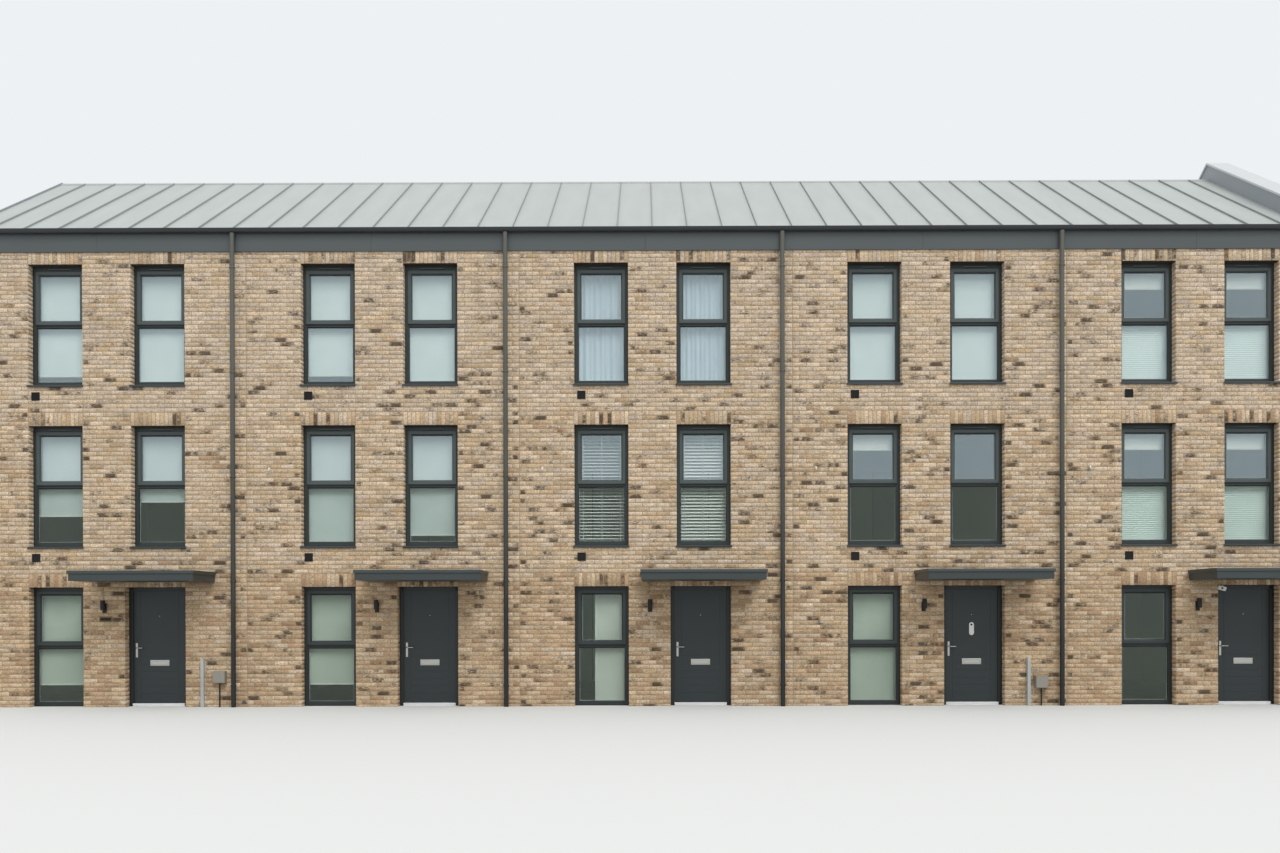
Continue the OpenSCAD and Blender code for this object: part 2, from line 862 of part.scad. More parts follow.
// Plate and web that tie one knuckle to the face behind it, on the +X side
module hinge_plate() {
    translate([leaf_gap / 2, -hinge_out, 0])
        cube([hinge_plate_w, hinge_plate_t, knuckle_h]);
    translate([leaf_gap / 2, -hinge_out, 0])
        cube([hinge_plate_t, hinge_out, knuckle_h]);
}

// Threshold between the feet of the door frame
module door_threshold() {
    translate([door_frame_w, -threshold_out, 0])
        cube([doorway_w - 2 * door_frame_w, leaf_back_d + threshold_out, threshold_h]);
}

// Door leaf with the moving halves of its hinges
module door_leaf() {
    translate([rebate_w + leaf_gap, door_stop_d + stop_gap, leaf_bottom_h])
        cube([leaf_w, leaf_t, leaf_top_h - leaf_bottom_h]);
    for (z = hinge_levels)
        translate([hinge_x, hinge_y, z + knuckle_h + knuckle_gap]) {
            cylinder(h = knuckle_h, r = knuckle_r);
            mirror([1, 0, 0]) hinge_plate();
        }
}

// Lever on its backplate, standing out of the plane Y = 0 towards -Y
module door_lever() {
    translate([-backplate_w / 2, -plate_t, -backplate_drop])
        cube([backplate_w, plate_t, backplate_h]);
    translate([0, -plate_t, 0])
        rotate([90, 0, 0])
            cylinder(h = lever_out - plate_t, r = lever_dia / 2);
    translate([-lever_dia / 2, -lever_out, 0])
        rotate([0, 90, 0])
            cylinder(h = lever_l, r = lever_dia / 2);
}

// Levers, letterplate and viewer on both faces of a leaf
module leaf_furniture() {
    outer_y = door_stop_d + stop_gap;
    lever_x = rebate_w + leaf_gap + backset;
    translate([lever_x, outer_y, lever_h]) door_lever();
    translate([lever_x, outer_y + leaf_t, lever_h]) mirror([0, 1, 0]) door_lever();
    translate([(doorway_w - letter_w) / 2, outer_y - plate_t, letter_z - letter_h / 2])
        cube([letter_w, plate_t, letter_h]);
    translate([(doorway_w - letter_w) / 2, outer_y + leaf_t, letter_z - letter_h / 2])
        cube([letter_w, plate_t, letter_h]);
    translate([doorway_w / 2, outer_y, viewer_z])
        rotate([90, 0, 0])
            cylinder(h = plate_t, r = viewer_dia / 2);
}

// Turns its children about the hinge of a doorway by the opening angle
module swung() {
    translate([hinge_x, hinge_y, 0])
        rotate([0, 0, -door_open])
            translate([-hinge_x, -hinge_y, 0])
                children();
}

// Puts its children in the doorway of a house, on the face of its frame
module in_doorway(i) {
    translate([house_x(i) + doorway_x, front_y + reveal_d, 0])
        children();
}

module door_jambs() {
    color("darkslategray")
        both_sides()
            for (i = houses)
                in_doorway(i) {
                    door_jamb();
                    translate([doorway_w, 0, 0])
                        mirror([1, 0, 0]) door_jamb();
                    fixed_knuckles();
                }
}

module door_heads() {
    color("darkslategray")
        both_sides()
            for (i = houses)
                in_doorway(i) door_head();
}

module door_thresholds() {
    color("silver")
        both_sides()
            for (i = houses)
                in_doorway(i) door_threshold();
}

module front_door(i) {
    color("darkslategray") in_doorway(i) swung() door_leaf();
}

module door_furniture(i) {
    color("silver") in_doorway(i) swung() leaf_furniture();
}

module rear_doors() {
    color("darkslategray")
        mirror([0, 1, 0])
            for (i = houses)
                in_doorway(i) door_leaf();
}

// Flat canopy: a body with a wider rim on top
module canopies() {
    z = head_h + canopy_clear;
    color("darkslategray")
        for (i = houses)
            translate([house_x(i) + right_edge_x - doorway_w / 2 + canopy_shift, front_y, z]) {
                translate([canopy_rim_out - canopy_w / 2, canopy_rim_out - canopy_d, 0])
                    cube([canopy_w - 2 * canopy_rim_out, canopy_d - canopy_rim_out,
                          canopy_body_h]);
                translate([-canopy_w / 2, -canopy_d, canopy_body_h])
                    cube([canopy_w, canopy_d, canopy_rim_h]);
            }
}

// Round up-and-down lights on a wall plate
module wall_lights() {
    axis_y = light_gap + light_dia / 2;
    color("black")
        for (i = houses)
            translate([house_x(i) + light_x, front_y, light_z]) {
                translate([0, -axis_y, -light_h / 2])
                    cylinder(h = light_h, r = light_dia / 2);
                translate([-light_plate_w / 2, -light_plate_t, -light_plate_w])
                    cube([light_plate_w, light_plate_t, 2 * light_plate_w]);
                translate([-light_plate_w / 4, -axis_y, -light_plate_w / 2])
                    cube([light_plate_w / 2, axis_y, light_plate_w]);
            }
}

module wall_vents() {
    color("black")
        for (i = houses)
            for (s = [1 : storeys - 1])
                translate([house_x(i) + left_window_x + vent_x, front_y - vent_t,
                           window_z(s) - vent_drop - vent_w])
                    cube([vent_w, vent_t, vent_w]);
}

module number_plate() {
    color("black")
        for (i = houses)
            if (numbered[i])
                translate([house_x(i) + light_x + number_shift - number_w / 2,
                           front_y - number_t, light_z - number_drop - number_h])
                    cube([number_w, number_t, number_h]);
}

// Meter boxes on the wall, each with a pipe down to the paving
module meter_boxes() {
    color("silver")
        for (i = houses)
            if (metered[i]) {
                z = i == 0 ? first_meter_z : meter_z;
                translate([house_x(i + 1) - meter_side, front_y - meter_d, 0]) {
                    translate([0, 0, z])
                        cube([meter_w, meter_d, meter_h]);
                    translate([meter_w / 2, meter_d / 2, 0])
                        cylinder(h = z, r = meter_pipe_dia / 2);
                }
            }
}

module cable_covers() {
    color("silver")
        for (i = houses)
            if (metered[i])
                translate([pipe_x(i + 1) - duct_side, front_y - duct_d, 0])
                    cube([duct_w, duct_d, duct_h]);
}

ground_floor();
first_floor();
second_floor();
top_ceiling();
front_wall_ground();
front_wall_upper();
rear_wall_ground();
rear_wall_upper();
left_end_wall();
party_walls();
right_gable_wall();
front_roof();
rear_roof();
front_roof_seams();
rear_roof_seams();
ridge_cap();
raised_verge();
verge_capping();
left_verge_trim();
fascia_boards();
gutters();
downpipes();
pipe_clips();
window_frames();
window_sashes();
window_glass();
window_cills();
roller_blinds();
pleated_blinds();
venetian_blinds();
curtains();
door_jambs();
door_heads();
door_thresholds();
front_door(0);  // front_door_1
front_door(1);  // front_door_2
front_door(2);  // front_door_3
front_door(3);  // front_door_4
front_door(4);  // front_door_5
door_furniture(0);  // door_furniture_1
door_furniture(1);  // door_furniture_2
door_furniture(2);  // door_furniture_3
door_furniture(3);  // door_furniture_4
door_furniture(4);  // door_furniture_5
rear_doors();
canopies();
wall_lights();
wall_vents();
number_plate();
meter_boxes();
cable_covers();
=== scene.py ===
import math
import random

import bmesh
import bpy
import numpy as np
from mathutils import Matrix, Vector


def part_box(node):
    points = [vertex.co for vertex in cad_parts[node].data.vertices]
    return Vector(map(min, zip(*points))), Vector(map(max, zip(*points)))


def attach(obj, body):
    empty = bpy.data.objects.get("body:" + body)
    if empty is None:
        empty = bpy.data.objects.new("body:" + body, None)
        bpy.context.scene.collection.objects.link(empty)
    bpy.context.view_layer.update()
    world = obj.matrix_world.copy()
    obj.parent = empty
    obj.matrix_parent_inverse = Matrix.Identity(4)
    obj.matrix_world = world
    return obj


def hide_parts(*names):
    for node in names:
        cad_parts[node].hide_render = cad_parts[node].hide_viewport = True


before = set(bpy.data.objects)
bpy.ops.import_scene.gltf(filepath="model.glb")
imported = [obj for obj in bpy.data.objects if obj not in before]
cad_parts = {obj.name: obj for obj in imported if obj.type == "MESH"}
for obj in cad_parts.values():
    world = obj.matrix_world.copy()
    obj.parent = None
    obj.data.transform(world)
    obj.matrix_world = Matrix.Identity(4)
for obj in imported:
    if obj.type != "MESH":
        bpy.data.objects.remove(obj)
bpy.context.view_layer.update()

MM = 0.001
ROW = "house_row"
STREET, REAR = -1, 1
SIDES = {STREET: "street", REAR: "rear"}
STOREYS = ("ground", "first", "second")


# Camera, light and floor

# The photograph was taken at eye height, from 20 m in front of the middle of the wall
CAMERA_AWAY = 20.0
EYE_HEIGHT = 1.57
FOCAL_PIXELS = 1165
PHOTO_WIDTH = 1280
SENSOR_WIDTH = 36
# Radians by which it looks to the left, leans to the left and looks down
CAMERA_TURN = 0.0038
CAMERA_ROLL = -0.0022
CAMERA_TIP = 0.0038
# The horizon lies this share of the picture's width below the middle
HORIZON_DROP = 0.1504


def srgb(code):
    """Linear RGBA of an sRGB hex code."""
    def linear(value):
        return value / 12.92 if value <= 0.04045 else ((value + 0.055) / 1.055) ** 2.4
    parts = [int(code[i:i + 2], 16) / 255 for i in (1, 3, 5)]
    return tuple(linear(part) for part in parts) + (1.0,)


def add(tree, kind, inputs=(), **settings):
    """Adds a shader node, sets its properties, and fills or links its inputs, which come in
    order or by name. A node that is given as an input stands for its first output."""
    node = tree.nodes.new("ShaderNode" + kind)
    for key, value in settings.items():
        setattr(node, key, value)
    for key, value in inputs.items() if isinstance(inputs, dict) else enumerate(inputs):
        if isinstance(value, bpy.types.Node):
            value = value.outputs[0]
        if isinstance(value, bpy.types.NodeSocket):
            tree.links.new(value, node.inputs[key])
        else:
            node.inputs[key].default_value = value
    return node


def place_camera():
    """The photograph's view of the street front."""
    wall_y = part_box("front_wall_upper")[0].y
    data = bpy.data.cameras.new("street_camera")
    data.sensor_width = SENSOR_WIDTH
    data.lens = SENSOR_WIDTH * FOCAL_PIXELS / PHOTO_WIDTH
    data.shift_y = HORIZON_DROP
    camera = bpy.data.objects.new("street_camera", data)
    camera.location = (0, wall_y - CAMERA_AWAY, EYE_HEIGHT)
    upright = Matrix.Rotation(math.pi / 2 - CAMERA_TIP, 4, "X")
    level = Matrix.Rotation(CAMERA_TURN, 4, "Z") @ upright
    turned = level @ Matrix.Rotation(CAMERA_ROLL, 4, "Z")
    camera.rotation_euler = turned.to_euler()
    bpy.context.scene.collection.objects.link(camera)
    bpy.context.scene.camera = camera


SKY_LIGHT = 0.92
PALE_BACKGROUND = "#EEF1F3"
SUN_STRENGTH = 1.1
SUN_SPREAD = math.radians(28)
SUN_HEIGHT = math.radians(50)
SUN_SIDE = math.radians(24)
FLOOR_SIZE = 160
FLOOR_PALE = "#DFE1E0"
# What the floor throws back at the walls is as dark as real paving
FLOOR_BOUNCE = "#A8A7A3"


def seen_rays(tree):
    """1 for what the camera sees, in metal and through glass too, and 0 for light on things."""
    rays = add(tree, "LightPath").outputs
    seen = rays["Is Camera Ray"]
    for kind in ("Is Glossy Ray", "Is Transmission Ray"):
        seen = add(tree, "Math", [seen, rays[kind]], operation="MAXIMUM")
    return seen


def light_scene():
    """White light from all round, a soft sun over the street, and a pale background."""
    world = bpy.data.worlds.new("studio")
    bpy.context.scene.world = world
    world.use_nodes = True
    tree = world.node_tree
    tree.nodes.clear()
    light = add(tree, "Background", {"Color": (1, 1, 1, 1), "Strength": SKY_LIGHT})
    shown = add(tree, "Background", {"Color": srgb(PALE_BACKGROUND), "Strength": 1.0})
    add(tree, "OutputWorld", [add(tree, "MixShader", [seen_rays(tree), light, shown])])

    sun = bpy.data.lights.new("soft_sun", "SUN")
    sun.energy = SUN_STRENGTH
    sun.angle = SUN_SPREAD
    lamp = bpy.data.objects.new("soft_sun", sun)
    down = Matrix.Rotation(SUN_SIDE, 4, "Z") @ Matrix.Rotation(math.pi / 2 - SUN_HEIGHT, 4, "X")
    lamp.rotation_euler = down.to_euler()
    bpy.context.scene.collection.objects.link(lamp)
    bpy.context.scene.view_settings.view_transform = "Standard"


def lay_floor():
    """Matt floor paint: pale to the eye, and plain with no texture."""
    mesh = bpy.data.meshes.new("floor")
    s = FLOOR_SIZE
    mesh.from_pydata([(-s, -s, 0), (s, -s, 0), (s, s, 0), (-s, s, 0)], [], [(0, 1, 2, 3)])
    floor = bpy.data.objects.new("floor", mesh)
    floor.location.z = -1 * MM
    mat, tree, _ = new_finish("floor_paint")
    pale = add(tree, "BsdfDiffuse", {"Color": srgb(FLOOR_PALE)})
    dark = add(tree, "BsdfDiffuse", {"Color": srgb(FLOOR_BOUNCE)})
    add(tree, "OutputMaterial", [add(tree, "MixShader", [seen_rays(tree), dark, pale])])
    mesh.materials.append(mat)
    bpy.context.scene.collection.objects.link(floor)


# Shapes

# Faces that meet at more than this angle keep a sharp edge
SHARP_ANGLE = math.radians(35)


class Shape:
    """Points and faces that are collected into one piece."""

    def __init__(self):
        self.points = []
        self.faces = []

    def add(self, points, faces):
        """Adds points and the faces on them, which are numbered from the first of the points."""
        start = len(self.points)
        self.points += [tuple(point) for point in points]
        self.faces += [tuple(start + i for i in face) for face in faces]

    def loft(self, loops, closed=False):
        """Skins over loops that have the same number of points. It closes the ends, or leads
        the last loop back to the first."""
        size = len(loops[0])
        faces = []
        for k in range(len(loops) - (0 if closed else 1)):
            low = k * size
            high = (k + 1) % len(loops) * size
            for i in range(size):
                j = (i + 1) % size
                faces.append((low + i, low + j, high + j, high + i))
        if not closed:
            last = (len(loops) - 1) * size
            faces.append(tuple(reversed(range(size))))
            faces.append(tuple(range(last, last + size)))
        self.add([point for loop in loops for point in loop], faces)

    def box(self, low, high, edge=1.5 * MM):
        """A block with chamfered edges."""
        low, high = [[pick(a, b) for a, b in zip(low, high)] for pick in (min, max)]
        edge = min(edge, *((b - a) / 5 for a, b in zip(low, high)))

        def outline(inset, z):
            x0, y0 = low[0] + inset, low[1] + inset
            x1, y1 = high[0] - inset, high[1] - inset
            return [(x0 + edge, y0, z), (x1 - edge, y0, z), (x1, y0 + edge, z),
                    (x1, y1 - edge, z), (x1 - edge, y1, z), (x0 + edge, y1, z),
                    (x0, y1 - edge, z), (x0, y0 + edge, z)]

        self.loft([outline(edge, low[2]), outline(0, low[2] + edge),
                   outline(0, high[2] - edge), outline(edge, high[2])])

    def along_x(self, x0, x1, profile, side=1):
        """A profile of (distance from the row's middle line, z) points drawn out along X."""
        self.loft([[(x, side * y, z) for y, z in profile] for x in (x0, x1)])

    def turned(self, origin, axis, profile, sides=24):
        """A profile of (distance along the axis, radius) points turned about the axis."""
        along = Vector(axis).normalized()
        across = along.orthogonal().normalized()
        upright = along.cross(across)
        loops = []
        for distance, radius in profile:
            loop = []
            for k in range(sides):
                angle = 2 * math.pi * k / sides
                offset = across * math.cos(angle) + upright * math.sin(angle)
                loop.append(Vector(origin) + along * distance + offset * radius)
            loops.append(loop)
        self.loft(loops)

    def tube(self, path, radius, sides):
        """A round bar along a path, with mitred bends."""
        path = [Vector(point) for point in path]
        loops = []
        for k, point in enumerate(path):
            before = (point - path[k - 1]).normalized() if k > 0 else None
            after = (path[k + 1] - point).normalized() if k + 1 < len(path) else None
            along = ((before or after) + (after or before)).normalized()
            across = along.cross(Vector((0, 0, 1)))
            if across.length < 0.1:
                across = along.cross(Vector((1, 0, 0)))
            across.normalize()
            upright = across.cross(along)
            loops.append([point + radius * (across * math.cos(2 * math.pi * i / sides)
                                            + upright * math.sin(2 * math.pi * i / sides))
                          for i in range(sides)])
        self.loft(loops)

    def piece(self, name, mat, slot, replaces=(), body=ROW):
        """Makes the object, lets it ride on a body and gives it its finish."""
        mesh = bpy.data.meshes.new(name)
        mesh.from_pydata(self.points, [], self.faces)
        work = bmesh.new()
        work.from_mesh(mesh)
        bmesh.ops.recalc_face_normals(work, faces=work.faces)
        work.to_mesh(mesh)
        work.free()
        mesh.shade_smooth()
        mesh.set_sharp_from_angle(angle=SHARP_ANGLE)
        mesh.materials.append(mat)
        settle(bpy.data.objects.new(name, mesh), replaces, body)


def settle(piece, replaces=(), body=ROW):
    """Puts a piece in the scene, on its body, and hides the CAD nodes that it replaces."""
    bpy.context.scene.collection.objects.link(piece)
    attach(piece, body)
    if replaces:
        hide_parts(*replaces)
    return piece


def solids(node):
    """Boxes of the separate solids of a CAD node, from left to right and from the ground up."""
    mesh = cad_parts[node].data
    points = np.empty(len(mesh.vertices) * 3)
    mesh.vertices.foreach_get("co", points)
    spots, index = np.unique(np.round(points.reshape(-1, 3), 4), axis=0, return_inverse=True)
    edges = np.empty(len(mesh.edges) * 2, int)
    mesh.edges.foreach_get("vertices", edges)
    edges = index.ravel()[edges].reshape(-1, 2)
    label = np.arange(len(spots))
    while True:
        lowest = np.minimum(label[edges[:, 0]], label[edges[:, 1]])
        joined = label.copy()
        np.minimum.at(joined, edges[:, 0], lowest)
        np.minimum.at(joined, edges[:, 1], lowest)
        joined = joined[joined]
        if (joined == label).all():
            break
        label = joined
    boxes = []
    for one in np.unique(label):
        own = spots[label == one]
        boxes.append((Vector(own.min(0)), Vector(own.max(0))))
    return sorted(boxes, key=lambda b: (round(b[0].x, 2), round(b[0].z, 2)))


def side_of(box):
    """The side of the row that a box is on."""
    return STREET if box[0].y + box[1].y < 0 else REAR


# Finishes

def new_finish(name):
    """A new material with an empty tree, and its object coordinates."""
    mat = bpy.data.materials.new(name)
    mat.use_nodes = True
    tree = mat.node_tree
    tree.nodes.clear()
    return mat, tree, add(tree, "TexCoord").outputs["Object"]


def lumps(tree, place, size, detail=3.0, stretch=(1, 1, 1)):
    """Noise from 0 to 1 with lumps of a size in metres, stretched along the axes."""
    scale = tuple(1 / (size * s) for s in stretch)
    mapped = add(tree, "Mapping", {"Vector": place, "Scale": scale})
    return add(tree, "TexNoise", {"Vector": mapped, "Scale": 1.0, "Detail": detail})


def coated(name, colour, rough, metallic=0.0, dust=0.10, grain=0.6 * MM, depth=0.03 * MM,
           blotch_size=0.35):
    """A plain coat or skin with soft blotches of dust and a fine grain, such as the orange peel
    of powder coat."""
    mat, tree, place = new_finish(name)
    patches = lumps(tree, place, blotch_size, 4.0, (1.6, 1.6, 0.8))
    shade = add(tree, "MapRange", [patches, 0.3, 0.7, 1 - dust, 1 + dust])
    base = add(tree, "VectorMath", {0: srgb(colour)[:3], 3: shade}, operation="SCALE")
    dull = add(tree, "MapRange", [patches, 0.2, 0.8, rough - 0.06, rough + 0.08])
    peel = add(tree, "Bump", {"Height": lumps(tree, place, grain, 1.0), "Distance": depth})
    shader = add(tree, "BsdfPrincipled", {"Base Color": base, "Roughness": dull,
                                          "Metallic": metallic, "Normal": peel})
    add(tree, "OutputMaterial", [shader])
    return mat


# Clay brick: sanded, water-struck faces from tan to a pale greyish buff, some burnt dark
BRICK_TONES = ("#A7896B", "#BDA081", "#CDB493", "#D6C1A6", "#D6C4AE", "#CCBBA8")
BRICK_BURNT = "#45372A"


def stock_brick():
    """Buff stock brick: each brick has its own tone, dark kiln marks and a gritty sand face."""
    mat, tree, place = new_finish("buff_stock_brick")
    tone, burnt, across = (add(tree, "Attribute", attribute_name=key).outputs["Fac"]
                           for key in ("tone", "burnt", "across"))
    clay = add(tree, "ValToRGB", [tone])
    stops = clay.color_ramp.elements
    stops.remove(stops[1])
    for k, code in enumerate(BRICK_TONES):
        spot = (k + 0.5) / len(BRICK_TONES)
        stop = stops[0] if k == 0 else stops.new(spot)
        stop.position = spot
        stop.color = srgb(code)
    cloudy = lumps(tree, place, 60 * MM, 4.0, (1.5, 1.5, 0.5))
    sandy = lumps(tree, place, 20 * MM, 2.0, (1.3, 1.3, 0.7))
    own = add(tree, "TexWhiteNoise", {"W": tone}, noise_dimensions="1D")
    lighter = add(tree, "Math", [add(tree, "MapRange", [cloudy, 0.25, 0.75, 0.88, 1.11]),
                                 add(tree, "MapRange", [sandy, 0.3, 0.7, 0.64, 1.31])],
                  operation="MULTIPLY")
    lighter = add(tree, "Math", [lighter, add(tree, "MapRange", [own, 0, 1, 0.84, 1.14])],
                  operation="MULTIPLY")
    face = add(tree, "VectorMath", {0: clay, 3: lighter}, operation="SCALE")
    # Kiln marks are darkest in the middle of a brick and break up into specks at its ends
    aside = add(tree, "Math", [across, 0.5], operation="SUBTRACT")
    aside = add(tree, "Math", [aside], operation="ABSOLUTE")
    inward = add(tree, "MapRange", [aside, 0.30, 0.5, 1.0, 0.5])
    force = add(tree, "Math", [burnt, inward], operation="MULTIPLY")
    fine = lumps(tree, place, 20 * MM, 5.0, (2.4, 2.4, 0.8))
    broad = lumps(tree, place, 95 * MM, 2.0)
    specks = add(tree, "Math", [add(tree, "MapRange", [fine, 0.25, 0.75, -0.4, 0.4]),
                                add(tree, "MapRange", [broad, 0.3, 0.7, -0.28, 0.22])],
                 operation="ADD")
    reach = add(tree, "Math", [force, specks], operation="ADD")
    mark = add(tree, "MapRange", [reach, 0.26, 0.85, 0.0, 0.9])
    base = add(tree, "Mix", {0: mark, 6: face, 7: srgb(BRICK_BURNT)}, data_type="RGBA")
    grit = add(tree, "Bump", {"Height": lumps(tree, place, 3 * MM, 6.0), "Distance": 1.2 * MM})
    shader = add(tree, "BsdfPrincipled", {"Base Color": base.outputs[2], "Roughness": 0.92,
                                          "Normal": grit})
    add(tree, "OutputMaterial", [shader])
    return mat


MORTAR = "#AC987B"
PLASTER = "#E4E2DB"


def mortar_and_plaster(skin_y, skin_x):
    """Sandy lime mortar on the weather side of a wall, and painted plaster on the room side."""
    mat, tree, place = new_finish("mortar_and_plaster")
    parts = add(tree, "SeparateXYZ", [place])
    past = []
    for key, skin in (("Y", skin_y), ("X", skin_x)):
        size = add(tree, "Math", [parts.outputs[key]], operation="ABSOLUTE")
        past.append(add(tree, "Math", [size, skin], operation="GREATER_THAN"))
    outside = add(tree, "Math", past, operation="MAXIMUM")
    sand = lumps(tree, place, 4 * MM, 5.0)
    damp = lumps(tree, place, 0.5, 3.0)
    shade = add(tree, "Math", [add(tree, "MapRange", [sand, 0.3, 0.7, 0.85, 1.12]),
                               add(tree, "MapRange", [damp, 0.3, 0.7, 0.92, 1.08])],
                operation="MULTIPLY")
    mortar = add(tree, "VectorMath", {0: srgb(MORTAR)[:3], 3: shade}, operation="SCALE")
    base = add(tree, "Mix", {0: outside, 6: srgb(PLASTER), 7: mortar}, data_type="RGBA")
    gritty = add(tree, "Bump", {"Height": sand, "Distance": 0.8 * MM})
    shader = add(tree, "BsdfPrincipled", {"Base Color": base.outputs[2], "Roughness": 0.9,
                                          "Normal": gritty})
    add(tree, "OutputMaterial", [shader])
    return mat


# A wave texture of scale 1 repeats after this many metres
WAVE_LENGTH = math.pi / 10
BOARD_WIDTH = 120 * MM
# Real threads are 0.8 mm apart; the weave is drawn this wide so that it shows
WEAVE = 20 * MM


def boards():
    """Oak strip floor: boards along X with grain, and dark joints."""
    mat, tree, place = new_finish("oak_strip_floor")
    grain = lumps(tree, place, 12 * MM, 6.0, (14, 1, 1))
    plank = add(tree, "TexWave", {"Vector": place, "Scale": WAVE_LENGTH / BOARD_WIDTH},
                bands_direction="Y", wave_profile="SAW")
    joint = add(tree, "MapRange", [plank.outputs["Fac"], 0.0, 0.03, 0.0, 1.0])
    wood = add(tree, "Mix", {0: add(tree, "MapRange", [grain, 0.3, 0.7, 0.0, 1.0]),
                             6: srgb("#A98257"), 7: srgb("#C7A276")}, data_type="RGBA")
    base = add(tree, "Mix", {0: joint, 6: srgb("#5B4630"), 7: wood.outputs[2]},
               data_type="RGBA")
    ridges = add(tree, "Bump", {"Height": grain, "Distance": 0.2 * MM})
    shader = add(tree, "BsdfPrincipled", {"Base Color": base.outputs[2], "Roughness": 0.45,
                                          "Normal": ridges})
    add(tree, "OutputMaterial", [shader])
    return mat


ROOF = "#B4BAB7"


def roof_sheet():
    """Plastisol-coated steel tray: pale grey, slightly wavy between its seams."""
    mat, tree, place = new_finish("plastisol_roof_steel")
    wash = lumps(tree, place, 0.5, 4.0, (0.5, 2.5, 2.5))
    shade = add(tree, "MapRange", [wash, 0.3, 0.7, 0.95, 1.05])
    base = add(tree, "VectorMath", {0: srgb(ROOF)[:3], 3: shade}, operation="SCALE")
    dull = add(tree, "MapRange", [wash, 0.2, 0.8, 0.42, 0.55])
    dents = add(tree, "Bump", {"Height": lumps(tree, place, 0.28, 2.0, (1, 1.8, 1.8)),
                               "Distance": 2.5 * MM})
    shader = add(tree, "BsdfPrincipled", {"Base Color": base, "Roughness": dull,
                                          "Metallic": 0.1, "Normal": dents})
    add(tree, "OutputMaterial", [shader])
    return mat


def pane_glass(name, tint, ior, reflection_tint):
    """Panes of a sealed unit: faintly green, with a slow wave, and open to light from lamps."""
    mat, tree, place = new_finish(name)
    # Heat-treated glass has a slow roller wave that bends reflections a little
    wave = add(tree, "Bump", {"Height": lumps(tree, place, 0.35, 1.0), "Distance": 0.12 * MM})
    # The reflection tint paints a colour into what the panes reflect
    shader = add(tree, "BsdfPrincipled", {
        "Base Color": srgb(tint), "Roughness": 0.01, "IOR": ior, "Specular Tint": srgb(reflection_tint),
        "Transmission Weight": 1.0, "Normal": wave})
    # Light crosses two faces of each pane, so each face takes the root of the tint
    face_tint = tuple(math.sqrt(part) for part in srgb(tint))
    clear = add(tree, "BsdfTransparent", {"Color": face_tint})
    shadow = add(tree, "LightPath").outputs["Is Shadow Ray"]
    add(tree, "OutputMaterial", [add(tree, "MixShader", [shadow, shader, clear])])
    return mat


def woven(name, colour):
    """Plain-woven polyester cloth: a fine over and under weave with a slight sheen."""
    mat, tree, place = new_finish(name)
    threads = [add(tree, "TexWave", {"Vector": place, "Scale": WAVE_LENGTH / WEAVE},
                   bands_direction=axis).outputs["Fac"] for axis in ("X", "Z")]
    weave = add(tree, "Math", threads, operation="MULTIPLY")
    shade = add(tree, "MapRange", [lumps(tree, place, 0.4, 2.0), 0.3, 0.7, 0.96, 1.04])
    base = add(tree, "VectorMath", {0: srgb(colour)[:3], 3: shade}, operation="SCALE")
    relief = add(tree, "Bump", {"Height": weave, "Distance": 0.15 * MM})
    shader = add(tree, "BsdfPrincipled", {"Base Color": base, "Roughness": 0.85,
                                          "Sheen Weight": 0.15, "Normal": relief})
    add(tree, "OutputMaterial", [shader])
    return mat


def pipe_darker_at_foot():
    """Powder-coated steel pipe: near black at the foot, turning grey higher up."""
    mat, tree, place = new_finish("powder_coated_pipe")
    height = add(tree, "SeparateXYZ", [place]).outputs["Z"]
    patches = lumps(tree, place, 0.25, 4.0, (1, 1, 3))
    wander = add(tree, "MapRange", [patches, 0.3, 0.7, -0.6, 0.6])
    level = add(tree, "Math", [height, wander], operation="ADD")
    paler_up = add(tree, "MapRange", [level, 1.0, 6.5, 0.0, 1.0])
    base = add(tree, "Mix", {0: paler_up, 6: srgb("#191D1E"), 7: srgb("#5F5F59")},
               data_type="RGBA")
    peel = add(tree, "Bump", {"Height": lumps(tree, place, 0.6 * MM, 1.0),
                              "Distance": 0.03 * MM})
    shader = add(tree, "BsdfPrincipled", {"Base Color": base.outputs[2], "Roughness": 0.5,
                                          "Normal": peel})
    add(tree, "OutputMaterial", [shader])
    return mat


def brushed_steel():
    """Satin stainless steel: fine brush lines along the metal."""
    mat, tree, place = new_finish("satin_stainless_steel")
    lines = lumps(tree, place, 0.6 * MM, 2.0, (30, 30, 1))
    dull = add(tree, "MapRange", [lines, 0.2, 0.8, 0.24, 0.42])
    scores = add(tree, "Bump", {"Height": lines, "Distance": 0.02 * MM})
    shader = add(tree, "BsdfPrincipled", {"Base Color": srgb("#B9B9B3"), "Metallic": 1.0,
                                          "Roughness": dull, "Normal": scores})
    add(tree, "OutputMaterial", [shader])
    return mat


brick_clay = stock_brick()
# Skimmed and emulsioned plaster: flat white with faint roller stipple
room_plaster = coated("painted_plaster", PLASTER, 0.8, dust=0.03, grain=3 * MM, depth=0.2 * MM,
                      blotch_size=0.8)
# Trowelled sand and cement screed: grey with cloudy trowel marks
screed = coated("cement_screed", "#8E8B85", 0.85, dust=0.16, grain=2 * MM, depth=0.3 * MM,
                blotch_size=0.25)
